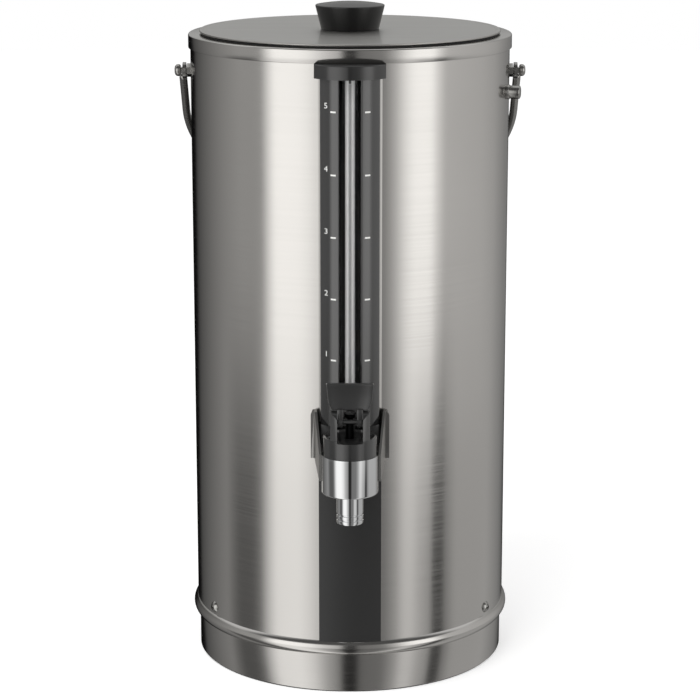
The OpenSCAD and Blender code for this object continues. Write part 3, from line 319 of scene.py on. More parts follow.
# A mould leaves pores of some tenths of a millimetre at most. They are drawn 0.4 to 1.4 mm apart, so that
# they show, and 0.1 mm deep. Tones drift over some 40 mm.
PORE_DEPTH, PORE_GLOSS, PLASTIC_CLOUDS = 0.0001, 0.06, 25.0


def moulded(name, colour, roughness, grain, bump, coat=0.0, coat_roughness=0.1):
    """Moulded plastic or rubber with grain pores in a metre, and a coat where its face is glossy."""
    material = bpy.data.materials.new(name)
    material.use_nodes = True
    tree = material.node_tree
    shader = tree.nodes["Principled BSDF"]
    shader.inputs["Coat Weight"].default_value = coat
    shader.inputs["Coat Roughness"].default_value = coat_roughness
    where = add_node(tree, "ShaderNodeTexCoord").outputs["Object"]
    pores = add_node(tree, "ShaderNodeTexNoise", {"Vector": where, "Scale": grain, "Detail": 3.0})
    clouds = add_node(tree, "ShaderNodeTexNoise", {"Vector": where, "Scale": PLASTIC_CLOUDS, "Detail": 2.0})
    tint = add_node(tree, "ShaderNodeMix",
                    {"Factor": clouds.outputs["Fac"], "A": from_hex(colour[0]), "B": from_hex(colour[1])},
                    data_type="RGBA")
    tree.links.new(tint.outputs["Result"], shader.inputs["Base Color"])
    rough = add_node(tree, "ShaderNodeMapRange",
                     {"Value": pores.outputs["Fac"],
                      "To Min": roughness - PORE_GLOSS, "To Max": roughness + PORE_GLOSS})
    tree.links.new(rough.outputs[0], shader.inputs["Roughness"])
    relief = add_node(tree, "ShaderNodeBump",
                      {"Height": pores.outputs["Fac"], "Strength": bump, "Distance": PORE_DEPTH})
    tree.links.new(relief.outputs[0], shader.inputs["Normal"])
    return material


# Matt black rubber, which takes no highlight.
rubber = moulded("nitrile_rubber_moulded", ("#222222", "#1c1c1c"), 0.62, 900, 0.3)
finish_nodes(rubber, "foot_pad")


# ---------------------------------------------------------------- Can
# The outer can is one sheet of stainless, rolled and brushed round. It is open down its front, and
# each side of that slot is folded into a low slanted edge that stands against the gauge channel.
CAN_R, CAN_T, CAN_FOOT, CAN_TOP = 110.0, 0.8, 34.0, 440.0
EDGE_IN, EDGE_OUT, EDGE_Y, EDGE_T, EDGE_LAP, EDGE_STEPS = 19.6, 21.0, -108.75, 1.4, 0.3, 8
LEFT_LEAN, RIGHT_LEAN = (3, 11), (15, 18)


def draw_up(bm, outline, foot, top):
    """Raises a closed outline of X and Y from one height to another, and returns its upper corners."""
    floor = bm.faces.new([bm.verts.new((x, y, foot)) for x, y in outline])
    raised = bmesh.ops.extrude_face_region(bm, geom=[floor])
    upper_corners = [v for v in raised["geom"] if isinstance(v, bmesh.types.BMVert)]
    bmesh.ops.translate(bm, vec=(0, 0, top - foot), verts=upper_corners)
    return upper_corners


slot_half = atan2(EDGE_OUT - EDGE_LAP, CAN_R)
bm = bmesh.new()
sheet_end = [bm.verts.new((r, 0, z)) for r, z in
             ((CAN_R - CAN_T, CAN_FOOT), (CAN_R, CAN_FOOT), (CAN_R, CAN_TOP), (CAN_R - CAN_T, CAN_TOP))]
bmesh.ops.rotate(bm, verts=sheet_end, cent=(0, 0, 0), matrix=Matrix.Rotation(-pi / 2 + slot_half, 3, "Z"))
bmesh.ops.spin(bm, geom=[bm.faces.new(sheet_end)], cent=(0, 0, 0), axis=(0, 0, 1),
               angle=2 * (pi - slot_half), steps=240, use_merge=False)
edge_step = (EDGE_OUT - EDGE_IN) / EDGE_STEPS
for side, (lean_in, lean_out) in ((-1, LEFT_LEAN), (1, RIGHT_LEAN)):
    fold = [(EDGE_IN, EDGE_Y + EDGE_T), (EDGE_IN, EDGE_Y)]
    for i in range(EDGE_STEPS):
        lean = radians(lean_in + (lean_out - lean_in) * (i + 0.5) / EDGE_STEPS)
        fold.append((fold[-1][0] + edge_step, fold[-1][1] + edge_step * tan(lean)))
    fold.append((EDGE_OUT, EDGE_Y + EDGE_T))
    draw_up(bm, [(side * x, y) for x, y in fold], CAN_FOOT, CAN_TOP)
set_in_place(bm, "can", can_steel, "urn", ["outer_shell"])

# A strip of extruded polypropylene closes the slot under the tap: dark, with an even satin face.
strip_plastic = moulded("polypropylene_black_extruded", ("#272727", "#242424"), 0.4, 1500, 0.12)
finish_nodes(strip_plastic, "front_strip")


# ---------------------------------------------------------------- Vessel and insulation
# The coffee vessel is drawn stainless, hung by its rim from the collar. Poured foam fills the room round it.
FOAM_TONES, FOAM_CELLS, CELL_DEPTH = ("#d2b978", "#e2cf98"), 650.0, 0.0006


def rigid_foam(name):
    """Poured polyurethane foam: closed cells about 1.5 mm across, with paler walls that stand proud."""
    material = bpy.data.materials.new(name)
    material.use_nodes = True
    tree = material.node_tree
    shader = tree.nodes["Principled BSDF"]
    shader.inputs["Roughness"].default_value = 0.85
    where = add_node(tree, "ShaderNodeTexCoord").outputs["Object"]
    cells = add_node(tree, "ShaderNodeTexVoronoi", {"Vector": where, "Scale": FOAM_CELLS})
    cell, wall = (from_hex(tone) for tone in FOAM_TONES)
    tint = add_node(tree, "ShaderNodeMix", {"Factor": cells.outputs["Distance"], "A": cell, "B": wall},
                    data_type="RGBA")
    tree.links.new(tint.outputs["Result"], shader.inputs["Base Color"])
    relief = add_node(tree, "ShaderNodeBump",
                      {"Height": cells.outputs["Distance"], "Strength": 0.5, "Distance": CELL_DEPTH})
    tree.links.new(relief.outputs[0], shader.inputs["Normal"])
    return material


finish_nodes(drawn_steel, "inner_vessel", "vessel_drain", "foam_tray", "tap_plate")
finish_nodes(rigid_foam("polyurethane_foam_poured"), "foam_jacket", "foam_floor")

# The collar is a spun ring of stainless over the rims of can and vessel, with a rounded top edge.
COLLAR_R, COLLAR_FOOT, COLLAR_TOP = 111.4, 431.5, 440.9
COLLAR_IN, COLLAR_BED, COLLAR_ROUND, COLLAR_EASE = CAN_R + 0.1, CAN_TOP - 0.02, 1.2, 0.35
VESSEL_IN, VESSEL_OUT = 88.1, 88.9
bm = lathe([
    (COLLAR_IN, COLLAR_FOOT), (COLLAR_R, COLLAR_FOOT), (COLLAR_R, COLLAR_TOP), (VESSEL_IN, COLLAR_TOP),
    (VESSEL_IN, CAN_TOP), (VESSEL_OUT, CAN_TOP), (VESSEL_OUT, COLLAR_BED), (COLLAR_IN, COLLAR_BED),
], steps=256)
round_off(bm, rings(bm, (COLLAR_R, COLLAR_TOP)), COLLAR_ROUND, 6)
round_off(bm, rings(bm, (COLLAR_R, COLLAR_FOOT)), COLLAR_EASE, 3)
set_in_place(bm, "collar", can_steel, "urn", ["top_collar"])


# ---------------------------------------------------------------- Gauge
# The gauge channel is black plastic, pushed down into the slot. Its rounded face has a groove, in which
# the drawn glass tube stands, with five marks at each side, a litre apart.
CHANNEL_HALF, CHANNEL_FOOT, CHANNEL_TOP = 19.5, 193.0, 423.0
FACE_R, FACE_Y, CHANNEL_BACK, FACE_STEPS = 25.0, -127.0, -102.6, 10
GROOVE_HALF, GROOVE_BACK, GRAIN_START = 7.0, -111.0, 1.8
FOOT_IN, FOOT_OUT, FOOT_BACK, FOOT_FRONT, FOOT_Z = 9.4, 19.4, -112.5, -120.0, 179.3
CHANNEL_ROUND, FOOT_LAP = 0.7, 0.1


def face_y(x):
    """How far forward the channel's rounded face lies at a distance from its middle."""
    return FACE_Y + FACE_R - sqrt(FACE_R ** 2 - x ** 2)


def upright_edges(bm, half, ahead_of):
    """The edges that stand upright at a distance to either side of the middle, ahead of a depth."""
    return [e for e in bm.edges
            if all(abs(abs(v.co.x) - half) < NEAR and v.co.y < ahead_of for v in e.verts)
            and abs(e.verts[0].co.z - e.verts[1].co.z) > 1]


def add_box(bm, size, middle):
    """Adds a box of a size in millimetres round its middle, and returns its corners."""
    corners = bmesh.ops.create_cube(bm, size=1)["verts"]
    bmesh.ops.scale(bm, vec=size, verts=corners)
    bmesh.ops.translate(bm, vec=middle, verts=corners)
    return corners


def edges_among(bm, corners):
    """The edges that join these corners of a shape."""
    return [e for e in bm.edges if e.verts[0] in corners and e.verts[1] in corners]


# The channel comes from a polished mould and is glossy. Its groove, like the top of its cap, is left with
# the tool's matt grain; their duller black, darker in the groove, is painted shade. Its feet are grained too,
# in a lighter black that is painted light, brightening them in the shade of the guard's wings.
channel_plastic = moulded("abs_black_gloss", ("#272727", "#242424"), 0.16, 1500, 0.03,
                          coat=1.0, coat_roughness=0.04)
grained_plastic_painted_shade = moulded("abs_black_grained_painted_shade", ("#1e1e1e", "#1b1b1b"), 0.7, 1500, 0.3)
grained_plastic_painted_shade.node_tree.nodes["Principled BSDF"].inputs["Specular IOR Level"].default_value = 0.3
foot_plastic_painted_light = moulded("abs_black_foot_painted_light", ("#484848", "#444444"), 0.45, 1500, 0.08)

# The second and third finish of the channel, after its gloss: the grained one with painted shade, and the
# feet's one with painted light. The cap's second one is the grained one with painted shade as well.
GRAINED_SHADE, FOOT = 1, 2
bm = bmesh.new()
xs = [GROOVE_HALF + (CHANNEL_HALF - GROOVE_HALF) * i / FACE_STEPS for i in range(FACE_STEPS + 1)]
right = [(x, face_y(x)) for x in xs]
left = [(-x, y) for x, y in reversed(right)]
section = (left + [(-GROOVE_HALF, GROOVE_BACK), (GROOVE_HALF, GROOVE_BACK)]
           + right + [(CHANNEL_HALF, CHANNEL_BACK), (-CHANNEL_HALF, CHANNEL_BACK)])
draw_up(bm, section, CHANNEL_FOOT, CHANNEL_TOP)
groove_lips = upright_edges(bm, GROOVE_HALF, GROOVE_BACK - 1)
face_sides = upright_edges(bm, CHANNEL_HALF, CHANNEL_BACK - 5)
round_off(bm, groove_lips, CHANNEL_ROUND, 4)
round_off(bm, face_sides, CHANNEL_ROUND, 4)
# The groove takes the grained finish, whose darker black is painted shade.
for face in bm.faces:
    middle = face.calc_center_median()
    in_groove = abs(middle.x) < GROOVE_HALF + NEAR and middle.y > FACE_Y + GRAIN_START
    if in_groove and CHANNEL_FOOT < middle.z < CHANNEL_TOP:
        face.material_index = GRAINED_SHADE

# Two feet under it fill the room between the guard's wings and the tap's riser. Their lighter black is
# painted light.
foot_top = CHANNEL_FOOT + FOOT_LAP
for side in (-1, 1):
    foot = add_box(bm, (FOOT_OUT - FOOT_IN, FOOT_BACK - FOOT_FRONT, foot_top - FOOT_Z),
                   (side * (FOOT_IN + FOOT_OUT) / 2, (FOOT_BACK + FOOT_FRONT) / 2, (foot_top + FOOT_Z) / 2))
    for face in {face for v in foot for face in v.link_faces}:
        face.material_index = FOOT
    round_off(bm, edges_among(bm, foot), CHANNEL_ROUND, 3)
channel = set_in_place(bm, "scale_channel", channel_plastic, "urn", ["gauge_channel"],
                       crease=30)
channel.data.materials.append(grained_plastic_painted_shade)
channel.data.materials.append(foot_plastic_painted_light)

# The tube is drawn borosilicate glass, with faint lines along it from the drawing, about a millimetre apart.
glass = bpy.data.materials.new("borosilicate_drawn_tube")
glass.use_nodes = True
tree = glass.node_tree
shader = tree.nodes["Principled BSDF"]
shader.inputs["Base Color"].default_value = from_hex("#fefefe")
shader.inputs["Transmission Weight"].default_value = 1
shader.inputs["IOR"].default_value = 1.47
where = add_node(tree, "ShaderNodeTexCoord").outputs["Object"]
draw_lines = add_node(tree, "ShaderNodeMapping", {"Vector": where, "Scale": (900, 900, 4)})
streaks = add_node(tree, "ShaderNodeTexNoise", {"Vector": draw_lines.outputs[0], "Scale": 1.0, "Detail": 2.0})
haze = add_node(tree, "ShaderNodeMapRange", {"Value": streaks.outputs["Fac"], "To Min": 0.0, "To Max": 0.02})
tree.links.new(haze.outputs[0], shader.inputs["Roughness"])
GLASS_Y, GLASS_R, BORE_R, GLASS_FOOT, GLASS_TOP, GLASS_ROUND = -118.0, 6.0, 2.1, 197.0, 426.0, 0.4
tube_rims = ((BORE_R, GLASS_FOOT), (GLASS_R, GLASS_FOOT), (GLASS_R, GLASS_TOP), (BORE_R, GLASS_TOP))
bm = lathe(tube_rims, steps=64)
round_off(bm, rings(bm, *tube_rims), GLASS_ROUND, 3)
set_in_place(bm, "sight_tube", glass, "urn", ["gauge_glass"], shift=(0, GLASS_Y, 0))

# The bore is lined with a white layer that gives the tube its two bright stripes, which stand in for light
# caught inside a clear bore: painted light. A faint glow on it is painted light too. A grey line runs down
# its front, up to the nub of the plug on top; its darker grey is painted shade for the tube's middle.
LINER_R, LINER_T, LINE_HALF, NUB_FOOT, LINING_PAINTED_GLOW = BORE_R + 0.02, 0.14, radians(21), 419.6, 0.1
painted_light_lining = moulded("glass_lining_painted_light", ("#fbfbfa", "#f8f8f6"), 0.25, 900, 0.02)
# The lining's faint emission is painted light.
lining_glow_shader = painted_light_lining.node_tree.nodes["Principled BSDF"]
lining_glow_shader.inputs["Emission Color"].default_value = WHITE
lining_glow_shader.inputs["Emission Strength"].default_value = LINING_PAINTED_GLOW
# The grey line's darker tone is painted shade.
painted_shade_line = moulded("glass_line_painted_shade", ("#b2b2b2", "#acacac"), 0.25, 900, 0.02)
for name, start, arc, top, finish in (
        ("tube_lining_painted_light", LINE_HALF, 2 * (pi - LINE_HALF), GLASS_TOP, painted_light_lining),
        ("tube_line_painted_shade", -LINE_HALF, 2 * LINE_HALF, NUB_FOOT, painted_shade_line)):
    wall = ((LINER_R - LINER_T, GLASS_FOOT), (LINER_R, GLASS_FOOT), (LINER_R, top), (LINER_R - LINER_T, top))
    bm = bmesh.new()
    lining_end = [bm.verts.new((r * sin(start), -r * cos(start), z)) for r, z in wall]
    bmesh.ops.spin(bm, geom=[bm.faces.new(lining_end)], cent=(0, 0, 0), axis=(0, 0, 1), angle=arc, steps=24,
                   use_merge=False)
    set_in_place(bm, name, finish, "urn", shift=(0, GLASS_Y, 0))
finish_nodes(rubber, "gauge_top_plug", "gauge_bottom_seal")

# The marks and the numbers 1 to 5 are printed in white ink, matt and a little proud of the channel's face.
print_white = moulded("screen_print_white", ("#f4f4f1", "#ecece8"), 0.5, 2500, 0.2)
LITRE, FIRST_MARK, INK, MARK_H = 41.0, 238.2, 0.06, 1.05
MARK_SPANS = ((-12.6, -9.2), (9.7, 13.1))
NUMBER_H, NUMBER_X, NUMBER_UP = 5.2, -15.6, 3.7
for count in range(1, 6):
    z = FIRST_MARK + LITRE * (count - 1)
    bm = bmesh.new()
    for x_low, x_high in MARK_SPANS:
        tick = add_box(bm, (x_high - x_low, 2 * INK, MARK_H), ((x_low + x_high) / 2, 0, z))
        slices = [e for e in edges_among(bm, tick) if abs(e.verts[0].co.x - e.verts[1].co.x) > 1]
        bmesh.ops.subdivide_edges(bm, edges=slices, cuts=3, use_grid_fill=True)
    lettering = bpy.data.curves.new(f"number_{count}", "FONT")
    lettering.body = str(count)
    lettering.size = NUMBER_H
    lettering.align_x = "CENTER"
    lettering.align_y = "CENTER"
    lettering.extrude = INK
    lettering.resolution_u = 4
    lettering_object = bpy.data.objects.new(f"number_{count}", lettering)
    letter_mesh = bpy.data.meshes.new_from_object(lettering_object)
    bpy.data.objects.remove(lettering_object)
    ticks = set(bm.verts)
    bm.from_mesh(letter_mesh)
    digit = [v for v in bm.verts if v not in ticks]
    bmesh.ops.rotate(bm, verts=digit, cent=(0, 0, 0), matrix=Matrix.Rotation(pi / 2, 3, "X"))
    bmesh.ops.translate(bm, vec=(NUMBER_X, 0, z + NUMBER_UP), verts=digit)
    bpy.data.meshes.remove(letter_mesh)
    for v in bm.verts:
        v.co.y += face_y(v.co.x)
    set_in_place(bm, f"litre_mark_{count}", print_white, "urn", crease=30)

# The cap closes the channel's top and slopes back to just under the collar. It is moulded with a satin
# face, under a thin shine, and its edges are eased.
CAP_HALF, CAP_FOOT, CAP_TOP, CAP_Y, CAP_R, CAP_STEPS, CAP_ROUND = 23.4, 423.0, 432.0, -129.0, 28.0, 16, 0.7
CAP_BACK_R, CAP_BACK_TOP, CAP_CORNER_Y = 110.15, COLLAR_FOOT - 0.1, -114.0
cap_plastic = moulded("abs_black_satin", ("#1c1c1c", "#191919"), 0.3, 1500, 0.05,
                      coat=0.6, coat_roughness=0.08)
bm = bmesh.new()
cap_xs = [-CAP_HALF + 2 * CAP_HALF * i / CAP_STEPS for i in range(CAP_STEPS + 1)]
cap_front = [(x, CAP_Y + CAP_R - sqrt(CAP_R ** 2 - x ** 2)) for x in cap_xs]
cap_back = [(x, -sqrt(CAP_BACK_R ** 2 - x ** 2)) for x in reversed(cap_xs)]
for v in draw_up(bm, cap_front + cap_back, CAP_FOOT, CAP_TOP):
    if hypot(v.co.x, v.co.y) < CAP_BACK_R + NEAR:
        v.co.z = CAP_BACK_TOP
cap_sides = upright_edges(bm, CAP_HALF, CAP_CORNER_Y)
rims = [e for e in bm.edges if e in cap_sides or all(v.co.z > CAP_TOP - NEAR for v in e.verts)]
round_off(bm, rims, CAP_ROUND, 4)
# The cap's top takes the grained finish, whose duller black is painted shade.
for face in bm.faces:
    if face.normal.z > 0.9:
        face.material_index = GRAINED_SHADE
hood = set_in_place(bm, "gauge_hood", cap_plastic, "urn", ["gauge_cap"], crease=35)
hood.data.materials.append(grained_plastic_painted_shade)


# ---------------------------------------------------------------- Tap body and spout
# The tap's body is turned brass under polished chrome plate. It mirrors the room sharply, with only faint
# waves some 25 mm across. Its edges are eased before plating.

def cad_shape(name, dissolve=True):
    """A copy of a CAD node in millimetres, with its loose triangles joined, into whole faces if asked."""
    bm = bmesh.new()
    bm.from_mesh(nodes[name].data)
    bmesh.ops.scale(bm, vec=(1000, 1000, 1000), verts=bm.verts)
    bmesh.ops.remove_doubles(bm, verts=bm.verts, dist=0.002)
    bmesh.ops.recalc_face_normals(bm, faces=bm.faces)
    if dissolve:
        bmesh.ops.dissolve_limit(bm, angle_limit=radians(0.6), verts=bm.verts, edges=bm.edges)
    return bm


def sharp_edges(bm, least=35):
    """The edges of a shape where its faces turn by more than an angle in degrees."""
    return [e for e in bm.edges if len(e.link_faces) == 2 and e.calc_face_angle() > radians(least)]


chrome = stainless("chrome_polished_plate", ("#dadbdc", "#d7d8d9"), (40, 40, 40), 0.02,
                   spread=0.01, bump=0.02)
TAP_Y, TAP_R, TAP_FOOT, TAP_TOP, TAP_ROUND = -141.0, 18.6, 153.0, 179.0, 1.0
bm = cad_shape("tap_body")
foot_rim = [e for e in sharp_edges(bm, 60)
            if all(abs(hypot(v.co.x, v.co.y - TAP_Y) - TAP_R) < NEAR and abs(v.co.z - TAP_FOOT) < NEAR
                   for v in e.verts)]
round_off(bm, foot_rim, TAP_ROUND, 4)
set_in_place(bm, "tap_barrel", chrome, "urn", ["tap_body"], crease=30)

# The spout is a chromed brass nozzle with two grooves near its mouth.
SPOUT_R, SPOUT_BORE, MOUTH_Z = 8.9, 6.5, 132.0
RING_Z, RING_H, RING_D, RING_EASE = (MOUTH_Z + 2.8, MOUTH_Z + 6.1), 1.1, 0.6, 0.15
outline = [(SPOUT_BORE, MOUTH_Z), (SPOUT_R - 0.9, MOUTH_Z), (SPOUT_R - 0.25, MOUTH_Z + 0.3),
           (SPOUT_R, MOUTH_Z + 1)]
for z in RING_Z:
    outline += [(SPOUT_R, z - RING_EASE), (SPOUT_R - RING_EASE, z), (SPOUT_R - RING_D, z + RING_EASE),
                (SPOUT_R - RING_D, z + RING_H - RING_EASE), (SPOUT_R - RING_EASE, z + RING_H),
                (SPOUT_R, z + RING_H + RING_EASE)]
outline += [(SPOUT_R, TAP_FOOT), (SPOUT_BORE, TAP_FOOT)]
bm = lathe(outline, steps=96)
set_in_place(bm, "tap_nozzle", chrome, "urn", ["tap_spout"], crease=30, shift=(0, TAP_Y, 0))

# The riser and the cup that holds the tube stand in the channel's shadow, and are given a dull black that is
# painted shade.
painted_shade_black = moulded("brass_painted_shade_black", ("#161616", "#121212"), 0.4, 1500, 0.04)
finish_nodes(painted_shade_black, "tap_riser")


# ---------------------------------------------------------------- Tap guard
# The guard is one piece of bent stainless sheet, rolled satin, so it mirrors only light and dark. Its wings
# hold the tap, and its lips lie on the can, each with its upper outer corner cut off.
guard_steel = stainless("stainless_satin_sheet", ("#949391", "#8e8d8b"), (900, 900, 30), 0.4)
LIP_IN, LIP_HIGH, LIP_CUT = 26.2, 200.4, 3.4
bm = cad_shape("tap_guard", dissolve=False)
for v in bm.verts:
    if abs(v.co.x) > LIP_IN and v.co.z > LIP_HIGH:
        v.co.z -= LIP_CUT
set_in_place(bm, "guard_sheet", guard_steel, "urn", ["tap_guard"], crease=4)
finish_nodes(turned_steel, "tap_spacer", "tap_nut")
finish_nodes(rubber, "tap_washer", "drain_hose")


# ---------------------------------------------------------------- Tap bonnet
# The bonnet is a black moulded cap screwed on the tap's body, glossy from a polished mould. Its two ears
# carry the lever's pin, which is steel, oiled black.
bonnet_plastic = moulded("polyamide_black_gloss", ("#212121", "#1e1e1e"), 0.4, 1500, 0.04,
                         coat=1.0, coat_roughness=0.03)
BONNET_ROUND = 0.35
bm = cad_shape("tap_bonnet")
outer_edges = [e for e in sharp_edges(bm) if all(v.co.z > TAP_TOP + 0.5 for v in e.verts)]
round_off(bm, outer_edges, BONNET_ROUND, 2)
set_in_place(bm, "bonnet", bonnet_plastic, "urn", ["tap_bonnet"], crease=30)
pin_steel = stainless("steel_oiled_black", ("#6e6e6e", "#666666"), (4000, 1800, 1800), 0.35, bump=0.1)
finish_nodes(pin_steel, "lever_pin")


# ---------------------------------------------------------------- Tap lever
# The lever is one black moulding with a satin sheen: a hollowed paddle for the thumb on two rails, which
# turn on the pin and end in prongs under the stem's button.
PIN_Y, PIN_Z, PIN_HOLE = -149.0, 203.0, 1.7
PADDLE_FOOT, PADDLE_TOP, PADDLE_T, HOLLOW_R, HOLLOW_D = 211.1, 228.9, 4.0, 60.0, 1.2
SHOULDER_Z, FOOT_HALF, SHOULDER_HALF, TOP_HALF, PADDLE_ROUND = 217.0, 11.9, 14.2, 15.6, 0.8
RAIL_IN, RAIL_T, RAIL_DEPTH, RAIL_FOOT, RAIL_TOP, RAIL_ROUND = 4.5, 3.5, 7.0, PIN_Z + 2, PADDLE_FOOT + 1, 0.5
HUB_R, HUB_EASE = 4.0, 0.4
PRONG_X, PRONG_Y, PRONG_T, PRONG_L, PRONG_H, TIP_Y = 3.95, PIN_Y + 5.2, 1.9, 5.0, 2.0, PIN_Y + 7.6
BRIDGE_Y, BRIDGE_L = PIN_Y + 3.9, 2.4
lever_plastic = moulded("polyamide_black_satin", ("#2d2d2d", "#2a2a2a"), 0.3, 1500, 0.06,
                        coat=0.5, coat_roughness=0.15)


def turn_to_x(bm, geometry):
    """Lays a piece that was made upright along X."""
    bmesh.ops.rotate(bm, verts=geometry, cent=(0, 0, 0), matrix=Matrix.Rotation(pi / 2, 3, "Y"))


bm = bmesh.new()
bmesh.ops.create_grid(bm, x_segments=10, y_segments=9, size=1)
paddle_z = (PADDLE_FOOT + PADDLE_TOP) / 2
for v in bm.verts:
    z = PADDLE_FOOT + (PADDLE_TOP - PADDLE_FOOT) * (v.co.y + 1) / 2
    if z < SHOULDER_Z:
        half = FOOT_HALF + (SHOULDER_HALF - FOOT_HALF) * (z - PADDLE_FOOT) / (SHOULDER_Z - PADDLE_FOOT)
    else:
        half = SHOULDER_HALF + (TOP_HALF - SHOULDER_HALF) * (z - SHOULDER_Z) / (PADDLE_TOP - SHOULDER_Z)
    rise = HOLLOW_R - sqrt(HOLLOW_R ** 2 - (z - paddle_z) ** 2)
    hollow = HOLLOW_D * (1 - abs(v.co.x) ** 3)
    v.co = (v.co.x * half, PIN_Y - PADDLE_T / 2 + hollow - rise, z)
drawn = bmesh.ops.extrude_face_region(bm, geom=bm.faces[:])
for v in drawn["geom"]:
    if isinstance(v, bmesh.types.BMVert):
        v.co.y = PIN_Y + PADDLE_T / 2
bmesh.ops.recalc_face_normals(bm, faces=bm.faces)
round_off(bm, sharp_edges(bm, 50), PADDLE_ROUND, 3)
for side in (-1, 1):
    rail_x = side * (RAIL_IN + RAIL_T / 2)
    rail = add_box(bm, (RAIL_T, RAIL_DEPTH, RAIL_TOP - RAIL_FOOT),
                   (rail_x, PIN_Y, (RAIL_TOP + RAIL_FOOT) / 2))
    round_off(bm, edges_among(bm, rail), RAIL_ROUND, 2)
    hub = [bm.verts.new((r, 0, x)) for r, x in
           ((PIN_HOLE, 0), (HUB_R - HUB_EASE, 0), (HUB_R, HUB_EASE), (HUB_R, RAIL_T - HUB_EASE),
            (HUB_R - HUB_EASE, RAIL_T), (PIN_HOLE, RAIL_T))]
    rim = [bm.edges.new(pair) for pair in zip(hub, hub[1:] + hub[:1])]
    before = set(bm.verts) - set(hub)
    bmesh.ops.spin(bm, geom=hub + rim, cent=(0, 0, 0), axis=(0, 0, 1), angle=2 * pi, steps=48, use_merge=True)
    hub = [v for v in bm.verts if v not in before]
    turn_to_x(bm, hub)
    bmesh.ops.translate(bm, vec=(rail_x - RAIL_T / 2, PIN_Y, PIN_Z), verts=hub)
    add_box(bm, (PRONG_T, PRONG_L, PRONG_H), (side * PRONG_X, PRONG_Y, PIN_Z))
    tip = bmesh.ops.create_cone(bm, cap_ends=True, segments=24, radius1=PRONG_H / 2, radius2=PRONG_H / 2,
                                depth=PRONG_T)["verts"]
    turn_to_x(bm, tip)
    bmesh.ops.translate(bm, vec=(side * PRONG_X, TIP_Y, PIN_Z), verts=tip)
    add_box(bm, (RAIL_T, BRIDGE_L, PRONG_H), (rail_x, BRIDGE_Y, PIN_Z))
set_in_place(bm, "lever", lever_plastic, "lever", ["tap_lever"], crease=35)


# ---------------------------------------------------------------- Valve
# A cup of milky silicone on a steel stem closes the seat inside the tap, and a coil spring holds it down. The
# stem's near black is painted shade, for the dark inside of the bonnet between the lever's rails.
silicone = moulded("silicone_moulded", ("#d6d3c8", "#cfccc1"), 0.42, 700, 0.15)
stem_painted_shade_black = stainless("steel_painted_shade_black", ("#1c1c1d", "#161617"), (1800, 1800, 4000), 0.42, bump=0.1)
finish_nodes(silicone, "valve_cup")
finish_nodes(stem_painted_shade_black, "valve_stem")

# The spring goes with the stem's body, on a mesh of its own. In the tap the rising stem squeezes it, while
# its upper end stays under the bonnet's ceiling.
spring = set_in_place(cad_shape("valve_spring", dissolve=False), "closing_spring", turned_steel, "stem",
                      ["valve_spring"], crease=70)
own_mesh(spring)


# ---------------------------------------------------------------- Pivot bolts and stop
# A shouldered bolt with a rounded head holds each eye of the bail, over a hexagonal spacer.
CENTRE_Z, NECK_R, NECK_END, HEAD_R, HEAD_X, HEAD_T = 414.8, 2.2, 105.3, 4.15, 117.0, 4.2


def lathe_at(outline, facing, z, steps=64, closed=False):
    """A turned piece that stands out from the can at a bearing from the right and a height."""
    bm = lathe(outline, steps, closed)
    turn_to_x(bm, bm.verts)
    bmesh.ops.rotate(bm, verts=bm.verts, cent=(0, 0, 0), matrix=Matrix.Rotation(radians(facing), 3, "Z"))
    bmesh.ops.translate(bm, vec=(0, 0, z), verts=bm.verts)
    return bm


bolt = [(0, NECK_END), (NECK_R, NECK_END), (NECK_R, HEAD_X), (HEAD_R - 1.2, HEAD_X),
        (HEAD_R - 0.5, HEAD_X + 0.2), (HEAD_R, HEAD_X + 1.2), (HEAD_R, HEAD_X + 2.2),
        (HEAD_R - 0.4, HEAD_X + 3.2), (HEAD_R - 1.3, HEAD_X + 3.9), (HEAD_R - 2.5, HEAD_X + HEAD_T),
        (0, HEAD_X + HEAD_T)]
for side, facing in (("right", 0), ("left", 180)):
    bm = lathe_at(bolt, facing, CENTRE_Z)
    set_in_place(bm, f"pivot_bolt_{side}", turned_steel, "urn", ["pivot_bolts"], crease=50)
finish_nodes(turned_steel, "pivot_spacers", "pivot_backings", "bail_stop_nut")

# The stop is a turned peg with a flange, on the right only. The bail comes down on it when it is swung
# over to the front.
STOP_FACING, STOP_Z, STOP_R, STUD_R, FLANGE_LIP = -13.1, 402.8, 4.5, 2.0, 0.5
STUD_END, FLANGE_BACK, FLANGE_FACE, STOP_END = CAN_R - 5.0, CAN_R - 0.9, CAN_R + 2.0, CAN_R + 9.2
peg = [(0, STUD_END), (STUD_R, STUD_END), (STUD_R, FLANGE_BACK), (STOP_R + FLANGE_LIP - 0.3, FLANGE_BACK),
       (STOP_R + FLANGE_LIP, CAN_R + 0.4), (STOP_R + FLANGE_LIP, FLANGE_FACE - 0.3),
       (STOP_R + FLANGE_LIP - 0.3, FLANGE_FACE), (STOP_R, FLANGE_FACE), (STOP_R, STOP_END - 0.8),
       (STOP_R - 0.25, STOP_END - 0.2), (STOP_R - 0.8, STOP_END), (0, STOP_END)]
bm = lathe_at(peg, STOP_FACING, STOP_Z)
set_in_place(bm, "swing_stop", turned_steel, "urn", ["bail_stop"], crease=50)


# ---------------------------------------------------------------- Bail
# The carrying bail is a bent steel rod. Its ends are forged flat into eyes. The drawn rod has a soft shine.
bail_steel = stainless("stainless_drawn_rod", ("#a09f9c", "#979694"), (2500, 2500, 2500), 0.26, bump=0.1)
finish_nodes(bail_steel, "bail_handle")


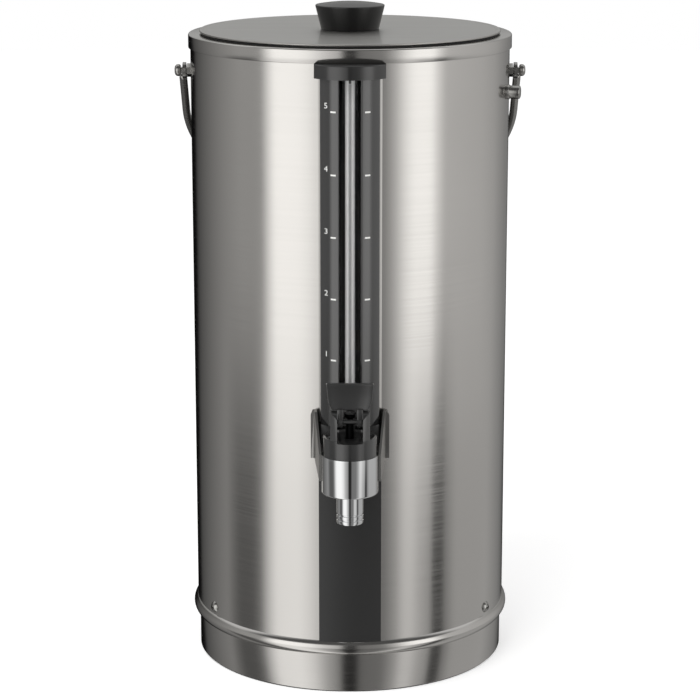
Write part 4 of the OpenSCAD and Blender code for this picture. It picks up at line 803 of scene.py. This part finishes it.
# ---------------------------------------------------------------- Lid
# The lid is a flat disc of satin stainless with a hemmed edge, over a foam-filled liner. It is brushed
# straight across, which blurs what it mirrors, under a faint clear shine.
lid_steel = stainless("stainless_brushed_lid", ("#b9b8b5", "#b4b3b0"), (6, 700, 6), 0.42)
lid_shader = lid_steel.node_tree.nodes["Principled BSDF"]
lid_shader.inputs["Coat Weight"].default_value = 0.25
lid_shader.inputs["Coat Roughness"].default_value = 0.03
LID_R, LID_FOOT, LID_TOP, LID_ROUND, HEM = 103.7, 442.0, 443.4, 0.6, 3.0
FIELD_Z, FIELD_IN, SHEET_T = LID_TOP - 0.25, 25, 0.6
hem_back = LID_R - HEM - 1
bm = lathe([
    (0, FIELD_Z - SHEET_T), (hem_back, FIELD_Z - SHEET_T), (hem_back, LID_FOOT), (LID_R, LID_FOOT),
    (LID_R, LID_TOP), (LID_R - HEM, LID_TOP), (LID_R - HEM - 0.4, FIELD_Z), (LID_R - HEM - 0.6, FIELD_Z),
    (FIELD_IN, FIELD_Z), (0, FIELD_Z),
], steps=256, closed=False)
round_off(bm, rings(bm, (LID_R, LID_FOOT), (LID_R, LID_TOP)), LID_ROUND, 5)
set_in_place(bm, "lid_plate", lid_steel, "lid", ["lid_disc"], crease=16)
finish_nodes(drawn_steel, "lid_liner")
finish_nodes(turned_steel, "knob_screw")
finish_nodes(rigid_foam("polyurethane_foam_moulded"), "lid_foam")
finish_nodes(rubber, "lid_gasket")

# The knob is moulded from black phenolic, wider at its top, with an eased rim and a low dome. Its face has
# a soft gloss.
bakelite = moulded("phenolic_black_moulded", ("#0f0f0f", "#0c0c0c"), 0.34, 900, 0.02,
                   coat=0.3, coat_roughness=0.12)
KNOB_FOOT_R, KNOB_TOP_R, KNOB_FOOT, KNOB_RIM, KNOB_TOP = 19.9, 24.0, LID_TOP - 0.2, 459.8, 462.0
DOME_RADII, KNOB_ROUND, KNOB_EASE = (22, 20, 17, 13, 9, 5, 0), 0.7, 0.4
dome_r = (KNOB_TOP_R ** 2 + (KNOB_TOP - KNOB_RIM) ** 2) / (2 * (KNOB_TOP - KNOB_RIM))
dome = [(r, KNOB_TOP - dome_r + sqrt(dome_r ** 2 - r ** 2)) for r in DOME_RADII]
bm = lathe([(0, KNOB_FOOT), (KNOB_FOOT_R, KNOB_FOOT), (KNOB_TOP_R, KNOB_RIM)] + dome, steps=128, closed=False)
round_off(bm, rings(bm, (KNOB_TOP_R, KNOB_RIM)), KNOB_ROUND, 4)
round_off(bm, rings(bm, (KNOB_FOOT_R, KNOB_FOOT)), KNOB_EASE, 3)
set_in_place(bm, "knob", bakelite, "lid", ["lid_knob"])
